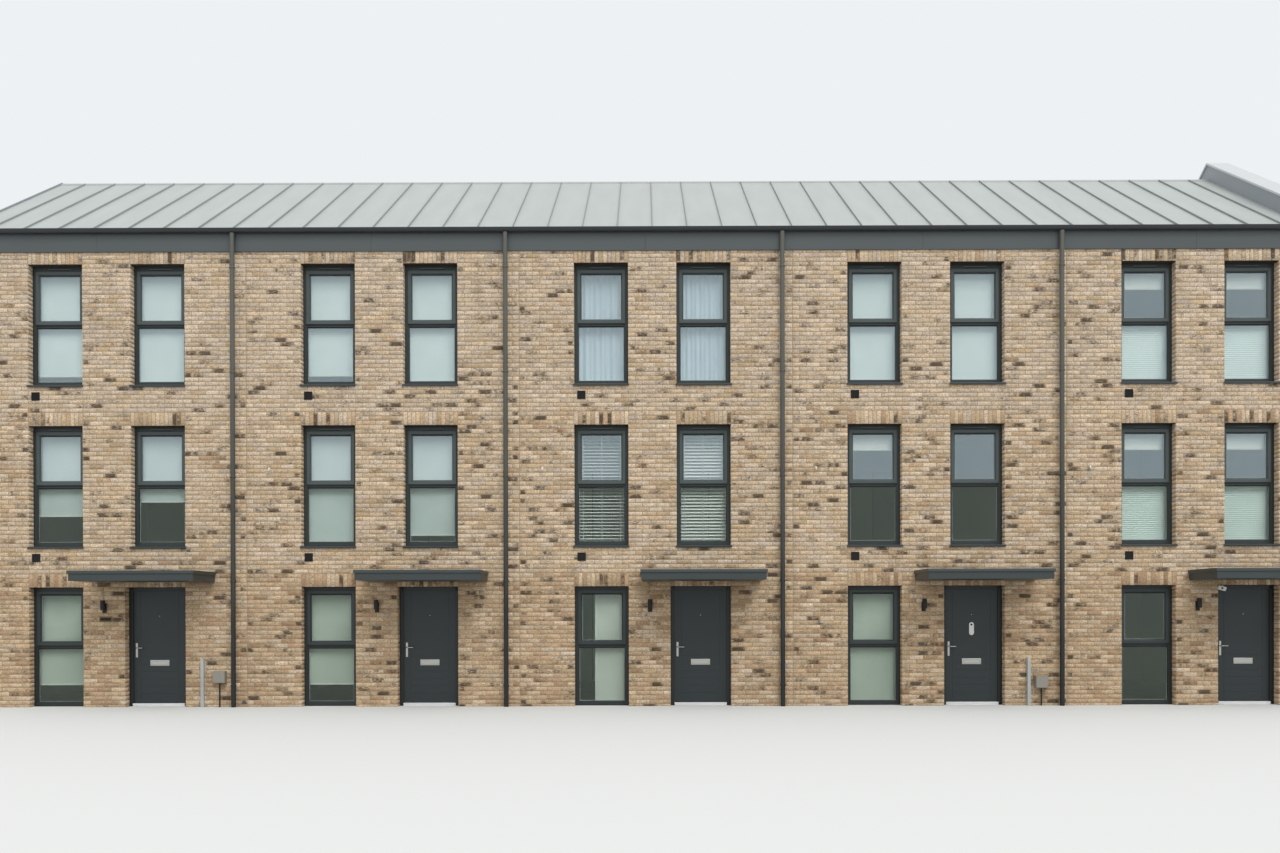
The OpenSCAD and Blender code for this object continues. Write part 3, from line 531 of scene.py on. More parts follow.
# Foiled PVC: an even satin film. The ground storey's windows and the doors' frames are darker
# copies, as painted shade low on the wall, and each sash is lighter than its frame, as a painted
# highlight on its edges
frame_plastics = (coated("foiled_upvc_frame_ground_painted_shade", "#252C2C", 0.42, dust=0.06),
                  coated("foiled_upvc_frame_upper", "#2E3838", 0.42, dust=0.06))
sash_plastics = (coated("foiled_upvc_sash_ground_shade_and_highlight", "#2F3839", 0.42, dust=0.06),
                 coated("foiled_upvc_sash_upper_painted_highlight", "#4B5657", 0.40, dust=0.06))
door_frame_plastic = coated("foiled_upvc_door_frame_painted_shade", "#1E2326", 0.4, dust=0.05)
# The vent hoods are a lighter copy of the foil: painted light on hoods that sit in the shade of the
# heads
hood_plastic = coated("upvc_vent_hood", "#5A6464", 0.45, dust=0.05)
# Extruded rubber: a dull black line round each pane and leaf, and the black strips of painted
# shadow at the windows
gasket_rubber = coated("epdm_gasket", "#0C0E0F", 0.6, dust=0.05)
# Mill aluminium: pale, with a soft gleam between the panes and along the thresholds
spacer_metal = coated("mill_aluminium_spacer", "#9DA4A5", 0.4, metallic=0.4, dust=0.05)
threshold_metal = coated("mill_aluminium_threshold", "#F0F2F2", 0.35, metallic=0.1, dust=0.05)
# Brush-painted steel: dull brown with blotches of dust, dark enough to paint the shade under each
# head
lintel_metal = coated("brown_painted_lintel", "#372E27", 0.7, dust=0.15)
# Powder-coated aluminium: an even satin, from mid grey to black, with fine orange peel
cill_metal = coated("powder_coated_cill", "#363D3F", 0.45)
fascia_metal = coated("powder_coated_fascia", "#585F61", 0.5, dust=0.05, blotch_size=0.9)
gutter_metal = coated("powder_coated_gutter", "#2D3236", 0.42)
canopy_metal = coated("powder_coated_canopy", "#394142", 0.42)
black_metal = coated("black_powder_coat", "#0D0B0A", 0.6)
pipe_metal = pipe_darker_at_foot()
# Plastisol-coated steel: a soft leathery grey; the seams and the verge are darker copies, as
# painted shade, and the capping a paler one, as painted light on its top
seam_metal = coated("plastisol_seam_steel", "#8F9895", 0.5, dust=0.05)
verge_metal = coated("plastisol_verge_steel", "#959CA1", 0.5, dust=0.05, blotch_size=0.8)
cap_metal = coated("plastisol_cap_steel", "#C9CDCF", 0.5, dust=0.03, blotch_size=0.8)
# Moulded glass-reinforced plastic: a smooth satin skin, and a duller one on the meter boxes
door_skin = coated("smooth_grp_door", "#262F32", 0.38, dust=0.05, grain=1.5 * MM)
meter_plastic = coated("grey_glass_fibre_box", "#96938A", 0.6, dust=0.08)
# Tarnished brass: dull olive brown, with hardly a gleam left
rim_metal = coated("tarnished_brass_rim", "#9C8A4E", 0.45)
# Moulded plastics: clean white PVC, and matt black ABS that hides the louvres' depth
white_plastic = coated("white_upvc", "#F4F6F5", 0.45, dust=0.05)
vent_plastic = coated("black_abs_vent", "#0B0908", 0.75)
# Honed slate: flat black with a trace of dust
plate_slate = coated("black_slate_plate", "#0E0D0B", 0.7, dust=0.05)
# Hot-dip galvanised steel: pale, with spangle 8 mm across
cover_metal = coated("galvanised_cover", "#B7BDBC", 0.45, metallic=0.2, dust=0.12,
                     grain=8 * MM)
steel = brushed_steel()
# Float glass: a blue tint on its reflections is a painted sky reflection; laminated glass is
# duller, a little grey and green
float_glass = pane_glass("coated_float_glass", "#FAFDFB", 1.95, "#DEF3FF")
laminated_glass = pane_glass("laminated_safety_glass", "#EFF2EF", 1.38, "#EFFFF0")
# Gloss paint on wood, and stove enamel on aluminium slats: clean whites with a soft shine
board_paint = coated("painted_window_board", "#E6E7E4", 0.4, dust=0.03)
slat_metal = coated("enamelled_slat", "#F1F4F4", 0.35, dust=0.03)
# Blind cloths are lit and shaded copies: the ground storey's is greyest as painted shade, the upper
# ones paler as painted light, and blinds that hang short are brightest, as painted light against
# the shade under the heads
storey_cloths = (woven("woven_blind_ground", "#C2CDC3"), woven("woven_blind_first", "#D2DDE0"),
                 woven("woven_blind_second", "#E2EFF3"))
side_cloth = woven("woven_blind_side", "#DADFD9")
short_cloth = woven("woven_blind_short", "#F8FEFD")
pleat_cloth = woven("pleated_polyester", "#E9F7F8")
# Voile: a thin cloth with a cool blue cast
voile = woven("voile_curtain", "#C8D8E8")

# From these depths behind the room's face the long walls and the end walls show mortar
PLASTER_DEPTH = 150 * MM
END_PLASTER_DEPTH = 50 * MM


def paint_nodes():
    """Finishes of the CAD nodes that keep their own shape."""
    wall = mortar_and_plaster(-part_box("front_wall_upper")[1].y + PLASTER_DEPTH,
                              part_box("right_gable_wall")[0].x + END_PLASTER_DEPTH)
    finishes = {
        wall: ["front_wall_ground", "front_wall_upper", "rear_wall_ground", "rear_wall_upper",
               "left_end_wall", "right_gable_wall"],
        room_plaster: ["party_walls", "top_ceiling"],
        screed: ["ground_floor"],
        boards(): ["first_floor", "second_floor"],
        roof_sheet(): ["front_roof", "rear_roof", "ridge_cap"],
        verge_metal: ["raised_verge", "left_verge_trim"],
        cap_metal: ["verge_capping"],
    }
    for mat, names in finishes.items():
        for name in names:
            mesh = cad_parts[name].data
            mesh.materials.clear()
            mesh.materials.append(mat)


# Brickwork

COURSE = 75 * MM
HALF_BRICK = 112.5 * MM
BED_JOINT = 10 * MM
BRICK_WIDTH = 102.5 * MM
BRICK_PROUD = 4 * MM
BRICK_EDGE = 3 * MM
BRICK_SINK = 12 * MM
# A brick's corners stray by up to this much
BRICK_SHAKE = 1.8 * MM
# Corners of a brick's block that lie along its top edge
TOP_CORNERS = (2, 3, 6, 7, 10, 11)
MOVEMENT_GAP = 12 * MM
# The movement joints stand this far right of the party lines
MOVEMENT_SIDE = 0.205
# Seeds of the random draws on the long walls, the end walls and the first curtain
WALL_SEEDS = {STREET: 11, REAR: 23}
END_SEEDS = {-1: 41, 1: 37}
CURTAIN_SEED = 60
# Mean tone of each storey from 0 to 1: the ground storey is darker, as painted shade low on the
# wall, and browner, and the top storey is palest
STOREY_TONES = (0.40, 0.55, 0.66)
TONE_SPREAD = 0.12
BURNT_SHARES = (0.09, 0.085, 0.06)
FAINT_SHARE = 0.16
SOLDIER_DARKER = 0.08
SOLDIER_BURNT = 0.13
SOLDIER_H = 225 * MM
# No brick under the roof's slope is cut lower than this at its ends
THINNEST_CUT = 12 * MM


class Bond:
    """Bricks of one wall face, collected as rectangles on the face."""

    def __init__(self, corner, along, out, rng, tone=0.5, burnt_share=0.08, upright=False):
        self.corner = Vector(corner)
        self.along = Vector(along)
        self.out = Vector(out)
        self.rng = rng
        self.tone = tone
        self.burnt_share = burnt_share
        # The ends of an upright brick are its foot and its head
        self.ends = (0.0, 0.0, 1.0, 1.0) if upright else (0.0, 1.0, 1.0, 0.0)
        self.rows = []
        self.closers = []

    def brick(self, u0, u1, z0, z1, depth=BRICK_SINK, top=None):
        """One brick; top cuts its upper corners to a slope, as heights at its two ends."""
        roll = self.rng.random()
        burnt = 0.0
        if roll < self.burnt_share:
            burnt = self.rng.uniform(0.6, 1.0)
        elif roll < self.burnt_share + FAINT_SHARE:
            burnt = self.rng.uniform(0.3, 0.55)
        left_top, right_top = (z1, z1) if top is None else (min(z1, top[0]), min(z1, top[1]))
        tone = min(max(self.rng.gauss(self.tone, TONE_SPREAD), 0), 1)
        self.rows.append((u0, u1, z0, z1, left_top, right_top, depth, tone, burnt))

    def arrays(self):
        """Twelve points of every brick, its tone and how burnt it is."""
        rows = np.array(self.rows)
        u0, u1, z0, z1, t0, t1, depth, tone, burnt = rows.T
        count = len(rows)
        shake = np.random.default_rng(count).uniform(-BRICK_SHAKE, BRICK_SHAKE, (count, 12))
        e = BRICK_EDGE
        corners = [(u0 + e, z0 + e), (u1 - e, z0 + e), (u1 - e, t1 - e), (u0 + e, t0 - e),
                   (u0, z0), (u1, z0), (u1, t1), (u0, t0), (u0, z0), (u1, z0), (u1, t1), (u0, t0)]
        out = [BRICK_PROUD] * 4 + [BRICK_PROUD - e] * 4 + [-depth] * 4
        points = np.empty((count, 12, 3))
        for k, (u, z) in enumerate(corners):
            n = np.broadcast_to(out[k], count) + (shake[:, k] if k < 8 else 0)
            wobble = shake[:, (k + 5) % 12] if k < 4 else 0
            level = z + wobble if k in TOP_CORNERS else np.minimum(z + wobble, z)
            points[:, k] = (np.array(self.corner) + np.outer(u + wobble, self.along)
                            + np.outer(n, self.out) + np.outer(level, (0, 0, 1)))
        return points, tone, burnt


BRICK_FACES = np.array([(0, 1, 2, 3), (4, 5, 1, 0), (5, 6, 2, 1), (6, 7, 3, 2), (7, 4, 0, 3),
                        (8, 9, 5, 4), (9, 10, 6, 5), (10, 11, 7, 6), (11, 8, 4, 7)])


def brick_piece(name, bonds):
    """Joins the bricks of some faces into one piece, with each brick's tone."""
    points, faces, tones, marks, shares = [], [], [], [], []
    start = 0
    for bond in bonds:
        place, tone, burnt = bond.arrays()
        count = len(place)
        outward = bond.along.cross(Vector((0, 0, 1))).dot(bond.out) > 0
        quads = BRICK_FACES if outward else BRICK_FACES[:, ::-1]
        first = start + 12 * np.arange(count)
        points.append(place.reshape(-1, 3))
        faces.append((first[:, None, None] + quads[None]).reshape(-1, 4))
        tones.append(np.repeat(tone, 12))
        marks.append(np.repeat(burnt, 12))
        shares.append(np.tile(bond.ends, 3 * count))
        start += 12 * count
    points, faces = np.concatenate(points), np.concatenate(faces)
    mesh = bpy.data.meshes.new(name)
    mesh.vertices.add(len(points))
    mesh.vertices.foreach_set("co", points.ravel())
    mesh.loops.add(faces.size)
    mesh.loops.foreach_set("vertex_index", faces.ravel().astype(np.int32))
    mesh.polygons.add(len(faces))
    mesh.polygons.foreach_set("loop_start", np.arange(0, faces.size, 4, dtype=np.int32))
    mesh.update(calc_edges=True)
    for key, values in (("tone", tones), ("burnt", marks), ("across", shares)):
        layer = mesh.attributes.new(key, "FLOAT", "POINT")
        layer.data.foreach_set("value", np.concatenate(values).astype(np.float32))
    mesh.materials.append(brick_clay)
    settle(bpy.data.objects.new(name, mesh))


def half_lines(marks):
    """Places of the half-brick lines, stretched so that a line falls on each mark."""
    lines = [marks[0]]
    for a, b in zip(marks, marks[1:]):
        steps = max(1, round((b - a) / HALF_BRICK))
        lines += [a + (b - a) * k / steps for k in range(1, steps + 1)]
    return lines


frames = solids("window_frames")
sashes = solids("window_sashes")
panes = solids("window_glass")
jambs = solids("door_jambs")
WALL = -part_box("front_wall_upper")[0].y
WINDOW_FACE = max(abs(frames[0][0].y), abs(frames[0][1].y))
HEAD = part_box("front_wall_ground")[1].z
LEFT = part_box("front_wall_upper")[0].x
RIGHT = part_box("front_wall_upper")[1].x
BRICK_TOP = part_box("fascia_boards")[0].z + 30 * MM
FIRST_BED = HEAD % COURSE
GABLE_MARKS = [-WALL, WALL]


def openings(side):
    """Openings in a long wall as (x0, x1, z0, z1), with the doorways last."""
    holes = []
    for low, high in frames:
        if side_of((low, high)) == side:
            foot = 0 if low.z < COURSE else FIRST_BED + (low.z - FIRST_BED) // COURSE * COURSE
            holes.append((low.x, high.x, foot, high.z))
    lefts = [low.x for low, high in jambs if side_of((low, high)) == side][0::2]
    rights = [high.x for low, high in jambs if side_of((low, high)) == side][1::2]
    holes += [(a, b, 0, HEAD) for a, b in zip(lefts, rights)]
    return holes


def movement_lines():
    """Places along X of the movement joints."""
    return [(low.x + high.x) / 2 + MOVEMENT_SIDE for low, high in solids("party_walls")]


def courses(top):
    """Each course that starts below a height: its number, the height at which it is compared
    with the openings, and the foot and head of its bricks."""
    course, z = 0, FIRST_BED - COURSE
    while z < top:
        foot = max(z, 0) + (BED_JOINT / 2 if z > 0 else 0)
        yield course, z + COURSE * 0.6, foot, z + COURSE - BED_JOINT / 2
        course += 1
        z += COURSE


def lay_course(bond, lines, gaps, edges, cuts, phase, z0, z1, reveal):
    """One course of stretchers between the row's ends, where the end walls' bricks turn the
    corner. gaps are (x0, x1) spans with no bricks, edges their sides that are reveals, and
    cuts the movement joints."""
    count = len(lines) - 1
    k = 0
    while k < count:
        step = 2 if (k + phase) % 2 == 0 else 1
        middle = (lines[k] + lines[k + 1]) / 2
        if any(a < middle < b for a, b in gaps):
            k += 1
            continue
        if step == 2 and k + 1 < count:
            stop = lines[k + 1]
            after = (lines[k + 1] + lines[k + 2]) / 2 if k + 2 <= count else stop
            blocked = any(a < after < b for a, b in gaps)
            if blocked or any(abs(stop - cut) < MM for cut in cuts):
                step = 1
        elif step == 2:
            step = 1
        u0, u1 = lines[k], lines[k + step]
        k += step
        at_start, at_end = u0 == lines[0], u1 == lines[-1]
        if step == 1 and (at_start or at_end):
            continue
        depth = BRICK_SINK
        half = BED_JOINT / 2
        a, b = u0 + half, u1 - half
        closer = None
        for edge, inward in edges:
            if abs(u0 - edge) < MM and inward < 0:
                a = u0 - BRICK_PROUD
                closer = (a, a + BRICK_WIDTH)
            if abs(u1 - edge) < MM and inward > 0:
                b = u1 + BRICK_PROUD
                closer = (b - BRICK_WIDTH, b)
        if closer:
            depth = reveal if step == 1 else BRICK_WIDTH
            if step == 2:
                bond.closers.append((closer[0], closer[1], z0, z1))
        if at_start:
            a, depth = u0 - BRICK_PROUD, BRICK_WIDTH
        if at_end:
            b, depth = u1 + BRICK_PROUD, BRICK_WIDTH
        for cut in cuts:
            if abs(u0 - cut) < MM:
                a = u0 + MOVEMENT_GAP / 2
            if abs(u1 - cut) < MM:
                b = u1 - MOVEMENT_GAP / 2
        bond.brick(a, b, z0, z1, depth)


def long_wall(side):
    """Bricks of the street or rear wall, in one piece for each storey."""
    rng = random.Random(WALL_SEEDS[side])
    holes = openings(side)
    cuts = movement_lines()
    reveal = WALL - WINDOW_FACE
    face = ((0, side * WALL, 0), (1, 0, 0), (0, side, 0), rng)
    bonds, closers = ([Bond(*face, tone, share) for tone, share in zip(STOREY_TONES, BURNT_SHARES)]
                      for _ in range(2))
    soldiers = [Bond(*face, tone - SOLDIER_DARKER, SOLDIER_BURNT, True) for tone in STOREY_TONES]
    low_marks = sorted({LEFT, RIGHT, *cuts, *(x for h in holes if h[2] < COURSE for x in h[:2])})
    high_marks = sorted({LEFT, RIGHT, *cuts, *(x for h in holes if h[2] > HEAD for x in h[:2])})
    storey_rise = sorted({round(h[3], 4) for h in holes})
    for course, middle, z0, z1 in courses(BRICK_TOP - MM):
        level = min(sum(middle > rise + SOLDIER_H for rise in storey_rise), 2)
        lines = half_lines(low_marks if middle < HEAD else high_marks)
        gaps = [h[:2] for h in holes if h[2] < middle < h[3]]
        edges = [(gap[0], 1) for gap in gaps] + [(gap[1], -1) for gap in gaps]
        heads = [h[:2] for h in holes if h[3] < middle < h[3] + SOLDIER_H]
        if heads and middle > HEAD:
            extra = {x for span in heads for x in span}
            lines = half_lines(sorted(extra | set(high_marks)))
        phase = course % 2
        if side == REAR:
            phase = (len(half_lines(GABLE_MARKS)) - 1 - course) % 2
        lay_course(bonds[level], lines, gaps + heads, edges, cuts, phase, z0, z1, reveal)
    for x0, x1, _, head in holes:
        level = sum(head - 1 * MM > rise for rise in storey_rise)
        count = round((x1 - x0) / COURSE)
        pitch = (x1 - x0) / count
        for k in range(count):
            left = x0 + k * pitch
            soldiers[level].brick(left + BED_JOINT / 2, left + pitch - BED_JOINT / 2,
                                  head - BRICK_PROUD, head + SOLDIER_H - BED_JOINT / 2, BRICK_WIDTH)
    for level, bond in enumerate(bonds):
        for a, b, z0, z1 in bond.closers:
            closers[level].corner.y = side * (WALL - BRICK_WIDTH - BED_JOINT - BRICK_PROUD)
            closers[level].brick(a, b, z0, z1, reveal - BRICK_WIDTH - BED_JOINT - BRICK_PROUD)
    for level, storey in enumerate(STOREYS):
        brick_piece(f"bricks_{SIDES[side]}_{storey}",
                    [bonds[level], closers[level], soldiers[level]])


def end_wall(side_x, phase_shift):
    """Bricks of one end of the row, cut to the slopes of the roof."""
    x = RIGHT if side_x > 0 else LEFT
    node = "right_gable_wall" if side_x > 0 else "left_end_wall"
    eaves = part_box("top_ceiling")[1].z
    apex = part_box(node)[1].z
    rng = random.Random(END_SEEDS[side_x])
    bond = Bond((x, 0, 0), (0, 1, 0), (side_x, 0, 0), rng)
    lines = half_lines(GABLE_MARKS)
    fall = (apex - eaves) / WALL
    for course, _, z0, z1 in courses(apex):
        k = 0
        phase = (course + phase_shift) % 2
        while k < len(lines) - 1:
            step = 2 if (k + phase) % 2 == 0 and k + 2 < len(lines) else 1
            u0, u1 = lines[k], lines[k + step]
            k += step
            at_start, at_end = u0 == lines[0], u1 == lines[-1]
            if step == 1 and (at_start or at_end):
                continue
            a = u0 - BRICK_PROUD if at_start else u0 + BED_JOINT / 2
            b = u1 + BRICK_PROUD if at_end else u1 - BED_JOINT / 2
            tops = [apex - abs(v) * fall - BED_JOINT / 2 for v in (a, b)]
            if min(tops) < z0 + THINNEST_CUT:
                continue
            bond.brick(a, b, z0, z1, BRICK_WIDTH if at_start or at_end else BRICK_SINK, tops)
    brick_piece("bricks_right_gable" if side_x > 0 else "bricks_left_end", [bond])


def fit_lintels():
    """Brown lintel plates that close the underside of each head behind the soldier bricks; their
    dark brown is partly painted shade in the soffit.
    """
    for side in (STREET, REAR):
        plates = Shape()
        for x0, x1, _, head in openings(side):
            plates.box((x0 + 1 * MM, side * (WALL - 6 * MM), head - 7 * MM),
                       (x1 - 1 * MM, side * (WINDOW_FACE - 2 * MM), head - 2 * MM), 1 * MM)
        plates.piece(f"lintel_plates_{SIDES[side]}", lintel_metal, "cill_metal")


def lay_bricks():
    """The long walls, and the end walls with courses that bond with them at the corners."""
    long_wall(STREET)
    long_wall(REAR)
    row_halves = len(half_lines([LEFT, RIGHT])) - 1
    end_wall(-1, 1)
    end_wall(1, row_halves + 1)


# Windows

FRAME_FACE = 70 * MM
SASH_LAP = 14 * MM
BEAD_FACE = 4 * MM
FRAME_DEPTH = 70 * MM
SASH_PROUD = 12 * MM
GLASS_SET = 22 * MM


def inset(rect, size):
    """A rectangle (x0, z0, x1, z1) drawn in on all sides."""
    x0, z0, x1, z1 = rect
    return (x0 + size, z0 + size, x1 - size, z1 - size)


def standing(rect, y):
    """Corners of a rectangle (x0, z0, x1, z1) that stands at a place along Y."""
    x0, z0, x1, z1 = rect
    return [(x0, y, z0), (x1, y, z0), (x1, y, z1), (x0, y, z1)]


def ring(rect, side, depth):
    """Corners of a rectangle on a long wall, at a depth behind the window face."""
    return standing(rect, side * (WINDOW_FACE - depth))


def stepped_ring(shape, side, steps):
    """A mitred frame whose section is given as (rectangle, depth) steps, back to the start."""
    shape.loft([ring(rect, side, depth) for rect, depth in steps], closed=True)


def rect_of(box):
    """A box seen from the street, as a rectangle (x0, z0, x1, z1)."""
    return (box[0].x, box[0].z, box[1].x, box[1].z)


def inside(rect, box):
    """Whether the middle of a box lies in a rectangle."""
    x = (box[0].x + box[1].x) / 2
    z = (box[0].z + box[1].z) / 2
    return rect[0] < x < rect[2] and rect[1] < z < rect[3]


def storey_at(height):
    """Number from 0 of the storey whose floor lies next below a height."""
    floors = [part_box(name)[1].z for name in ("ground_floor", "first_floor", "second_floor")]
    return max(sum(height > floor for floor in floors) - 1, 0)


def windows(on_side, on_storey):
    """The windows of one storey as (frame, sash flange, upper pane, lower pane)."""
    found = []
    for box in frames:
        side, rect = side_of(box), rect_of(box)
        if (side, storey_at(rect[3])) == (on_side, on_storey):
            sash = [rect_of(s) for s in sashes if side_of(s) == side and inside(rect, s)][0]
            own = [rect_of(p) for p in panes if side_of(p) == side and inside(rect, p)]
            lower, upper = sorted(own, key=lambda pane: pane[1])
            found.append((rect, sash, upper, lower))
    return found


def fit_windows():
    """Frames, sashes, gaskets, spacers, glass and vents, in pieces for each side and storey."""
    for side in (STREET, REAR):
        for storey in range(3):
            outer, leaf, seal, bar, vent, slot, clear, guard = (Shape() for _ in range(8))
            for rect, sash, upper, lower in windows(side, storey):
                window_frame(outer, side, rect, sash, lower)
                window_sash(leaf, side, sash, upper)
                seals(seal, bar, side, rect, sash, upper, lower)
                glaze(guard if storey == 0 else clear, side, upper)
                glaze(guard if storey < 2 else clear, side, lower)
                if storey > 0:
                    trickle_vent(vent, slot, side, rect)
            name = f"{SIDES[side]}_{STOREYS[storey]}"
            outer.piece(f"window_frames_{name}", frame_plastics[storey > 0], "window_frame",
                        ["window_frames"])
            leaf.piece(f"window_sashes_{name}", sash_plastics[storey > 0], "window_frame",
                       ["window_sashes"])
            seal.piece(f"window_gaskets_and_shadow_strips_{name}", gasket_rubber, "window_frame")
            bar.piece(f"glass_spacers_{name}", spacer_metal, "window_frame")
            if storey > 0:
                clear.piece(f"float_panes_{name}", float_glass, "window_glass", ["window_glass"])
            if storey < 2:
                guard.piece(f"laminated_panes_{name}", laminated_glass, "window_glass",
                            ["window_glass"])
            if storey > 0:
                vent.piece(f"trickle_vents_{name}", hood_plastic, "window_frame")
                slot.piece(f"vent_slots_{name}", gasket_rubber, "window_frame")


def window_frame(shape, side, rect, sash, lower):
    """Outer frame with softened edges, a transom, and a bead round the lower pane."""
    hole = inset(rect, FRAME_FACE)[:3] + (sash[3] - SASH_LAP,)
    soft = 2.5 * MM
    lip = tuple(a + s * soft for a, s in zip(hole, (-1, -1, 1, 1)))
    stepped_ring(shape, side, [
        (rect, FRAME_DEPTH), (rect, soft), (inset(rect, soft), 0), (lip, 0), (hole, soft),
        (hole, FRAME_DEPTH)])
    light_foot = sash[1] + SASH_LAP
    shape.box((hole[0], side * (WINDOW_FACE - FRAME_DEPTH), lower[3]),
              (hole[2], side * WINDOW_FACE, light_foot), soft)
    # Bead that slopes down to the lower pane
    stepped_ring(shape, side, [
        (lower, 2 * MM), (inset(lower, 1 * MM), 2 * MM), (inset(lower, BEAD_FACE), 14 * MM),
        (inset(lower, BEAD_FACE), GLASS_SET), (lower, GLASS_SET)])


def window_sash(shape, side, flange, pane):
    """Opening light that stands proud of its frame and slopes in to its pane."""
    lip = 3 * MM
    stepped_ring(shape, side, [
        (flange, -1 * MM), (flange, lip - SASH_PROUD), (inset(flange, lip), -SASH_PROUD),
        (inset(pane, -16 * MM), -SASH_PROUD), (inset(pane, -12 * MM), -SASH_PROUD + 4 * MM),
        (inset(pane, -10 * MM), 6 * MM), (pane, 16 * MM), (pane, FRAME_DEPTH),
        (inset(flange, 16 * MM), FRAME_DEPTH), (inset(flange, 16 * MM), -1 * MM)])


PANE_T = 4 * MM
UNIT_T = 24 * MM
# Heights of the black strips of painted shadow along the top of each pane and under the opening
# light
PANE_SHADOW_STRIP = 14 * MM
SASH_SHADOW_STRIP = 30 * MM
# Width of the sealant bead between a frame and the brickwork, drawn black and wide as painted shade
# along the reveal
SEALANT_AND_SHADE = 14 * MM


def glaze(shape, side, rect):
    """The two panes of one sealed unit."""
    for depth in (GLASS_SET, GLASS_SET + UNIT_T - PANE_T):
        shape.loft([ring(rect, side, depth), ring(rect, side, depth + PANE_T)])


def seals(seal, bar, side, rect, flange, upper, lower):
    """Sealant round the frame drawn wide as painted shade, gaskets, black strips of painted shadow
    over each pane and under the opening light, and the bright spacer inside each sealed unit.
    """
    # The sealant bead's black width paints the shade where the frame meets the brickwork
    bead = inset(rect, SEALANT_AND_SHADE)
    stepped_ring(seal, side, [(rect, 0), (rect, -4 * MM), (bead, -1 * MM), (bead, 0)])
    for pane in (upper, inset(lower, BEAD_FACE)):
        stepped_ring(seal, side, [
            (inset(pane, -1 * MM), GLASS_SET - 6 * MM), (inset(pane, 5 * MM), GLASS_SET - 4 * MM),
            (inset(pane, 7 * MM), GLASS_SET), (inset(pane, -1 * MM), GLASS_SET)])
        # A black strip of painted shadow along the top of each pane
        seal.box((pane[0], side * (WINDOW_FACE - GLASS_SET), pane[3] - PANE_SHADOW_STRIP),
                 (pane[2], side * (WINDOW_FACE - GLASS_SET + 10 * MM), pane[3]), 1 * MM)
        edge = inset(pane, 7 * MM)
        stepped_ring(bar, side, [
            (edge, GLASS_SET + PANE_T), (inset(edge, 7 * MM), GLASS_SET + PANE_T + 1 * MM),
            (inset(edge, 7 * MM), GLASS_SET + UNIT_T - PANE_T - 1 * MM),
            (edge, GLASS_SET + UNIT_T - PANE_T)])
    # Black strip of painted shadow below the opening light
    seal.box((flange[0], side * WINDOW_FACE, flange[1] - SASH_SHADOW_STRIP),
             (flange[2], side * (WINDOW_FACE + 2 * MM), flange[1]), 0.5 * MM)
    gap = inset(flange, -4 * MM)
    stepped_ring(seal, side, [(gap, 1 * MM), (gap, -1.5 * MM), (inset(flange, 4 * MM), -1.5 * MM),
                              (inset(flange, 4 * MM), 1 * MM)])


VENT_HALF_W = 195 * MM
VENT_DROP = 42 * MM


def trickle_vent(hood, slot, side, rect):
    """A slim hood on the frame's head, over a dark slot."""
    middle = (rect[0] + rect[2]) / 2
    x0, x1 = middle - VENT_HALF_W, middle + VENT_HALF_W
    top = rect[3] - VENT_DROP
    face = WINDOW_FACE
    profile = [(face, top - 14 * MM), (face + 8 * MM, top - 14 * MM),
               (face + 9 * MM, top - 12 * MM), (face + 9 * MM, top - 3 * MM),
               (face + 6 * MM, top), (face, top)]
    hood.along_x(x0, x1, profile, side)
    gap = [(face, top - 30 * MM), (face + 3 * MM, top - 30 * MM), (face + 3 * MM, top - 14 * MM),
           (face, top - 14 * MM)]
    slot.along_x(x0 + 4 * MM, x1 - 4 * MM, gap, side)


CILL_END = 10 * MM
CILL_EDGE = 5 * MM
# The inner boards reach this far into the room, at these heights above a frame's foot
BOARD_REACH = 120 * MM
BOARD_LEVELS = (45 * MM, 70 * MM)


def fit_cills():
    """Folded cills with a rolled front lip, and white boards inside."""
    for side in (STREET, REAR):
        cills, inner = Shape(), Shape()
        for low, high in solids("window_cills"):
            if side_of((low, high)) != side:
                continue
            back, nose = sorted((abs(low.y), abs(high.y)))
            lip, top = low.z, high.z
            wide = [(WALL, top - 4 * MM), (nose - CILL_EDGE, top - 4 * MM - 1 * MM),
                    (nose - 1 * MM, top - CILL_EDGE - 2 * MM), (nose, top - CILL_EDGE - 4 * MM),
                    (nose, lip + 3 * MM), (nose - 2 * MM, lip), (nose - 6 * MM, lip),
                    (nose - 8 * MM, lip + 3 * MM), (nose - 8 * MM, top - 16 * MM),
                    (WALL, top - 14 * MM)]
            cills.along_x(low.x, high.x, wide, side)
            narrow = [(back, top), (WALL + 2 * MM, top - 3 * MM), (WALL + 2 * MM, top - 14 * MM),
                      (back, top - 14 * MM)]
            cills.along_x(low.x + CILL_END, high.x - CILL_END, narrow, side)
        back = WINDOW_FACE - FRAME_DEPTH
        for storey in range(3):
            for (x0, z0, x1, _), _, _, _ in windows(side, storey):
                inner.box((x0, side * back, z0 + BOARD_LEVELS[0]),
                          (x1, side * (back - BOARD_REACH), z0 + BOARD_LEVELS[1]), 3 * MM)
        cills.piece(f"window_cills_{SIDES[side]}", cill_metal, "cill_metal", ["window_cills"])
        inner.piece(f"window_boards_{SIDES[side]}", board_paint, "plasterboard")


# Blinds and curtains

# A blind narrower than this hangs at one side of its window
SIDE_BLIND_W = 0.6
# A blind shorter than this is drawn down only a little way
SHORT_BLIND_H = 0.6
# The cloth ends inside its foot bar
CLOTH_FOOT = 12 * MM
FOOT_BAR_H = 22 * MM


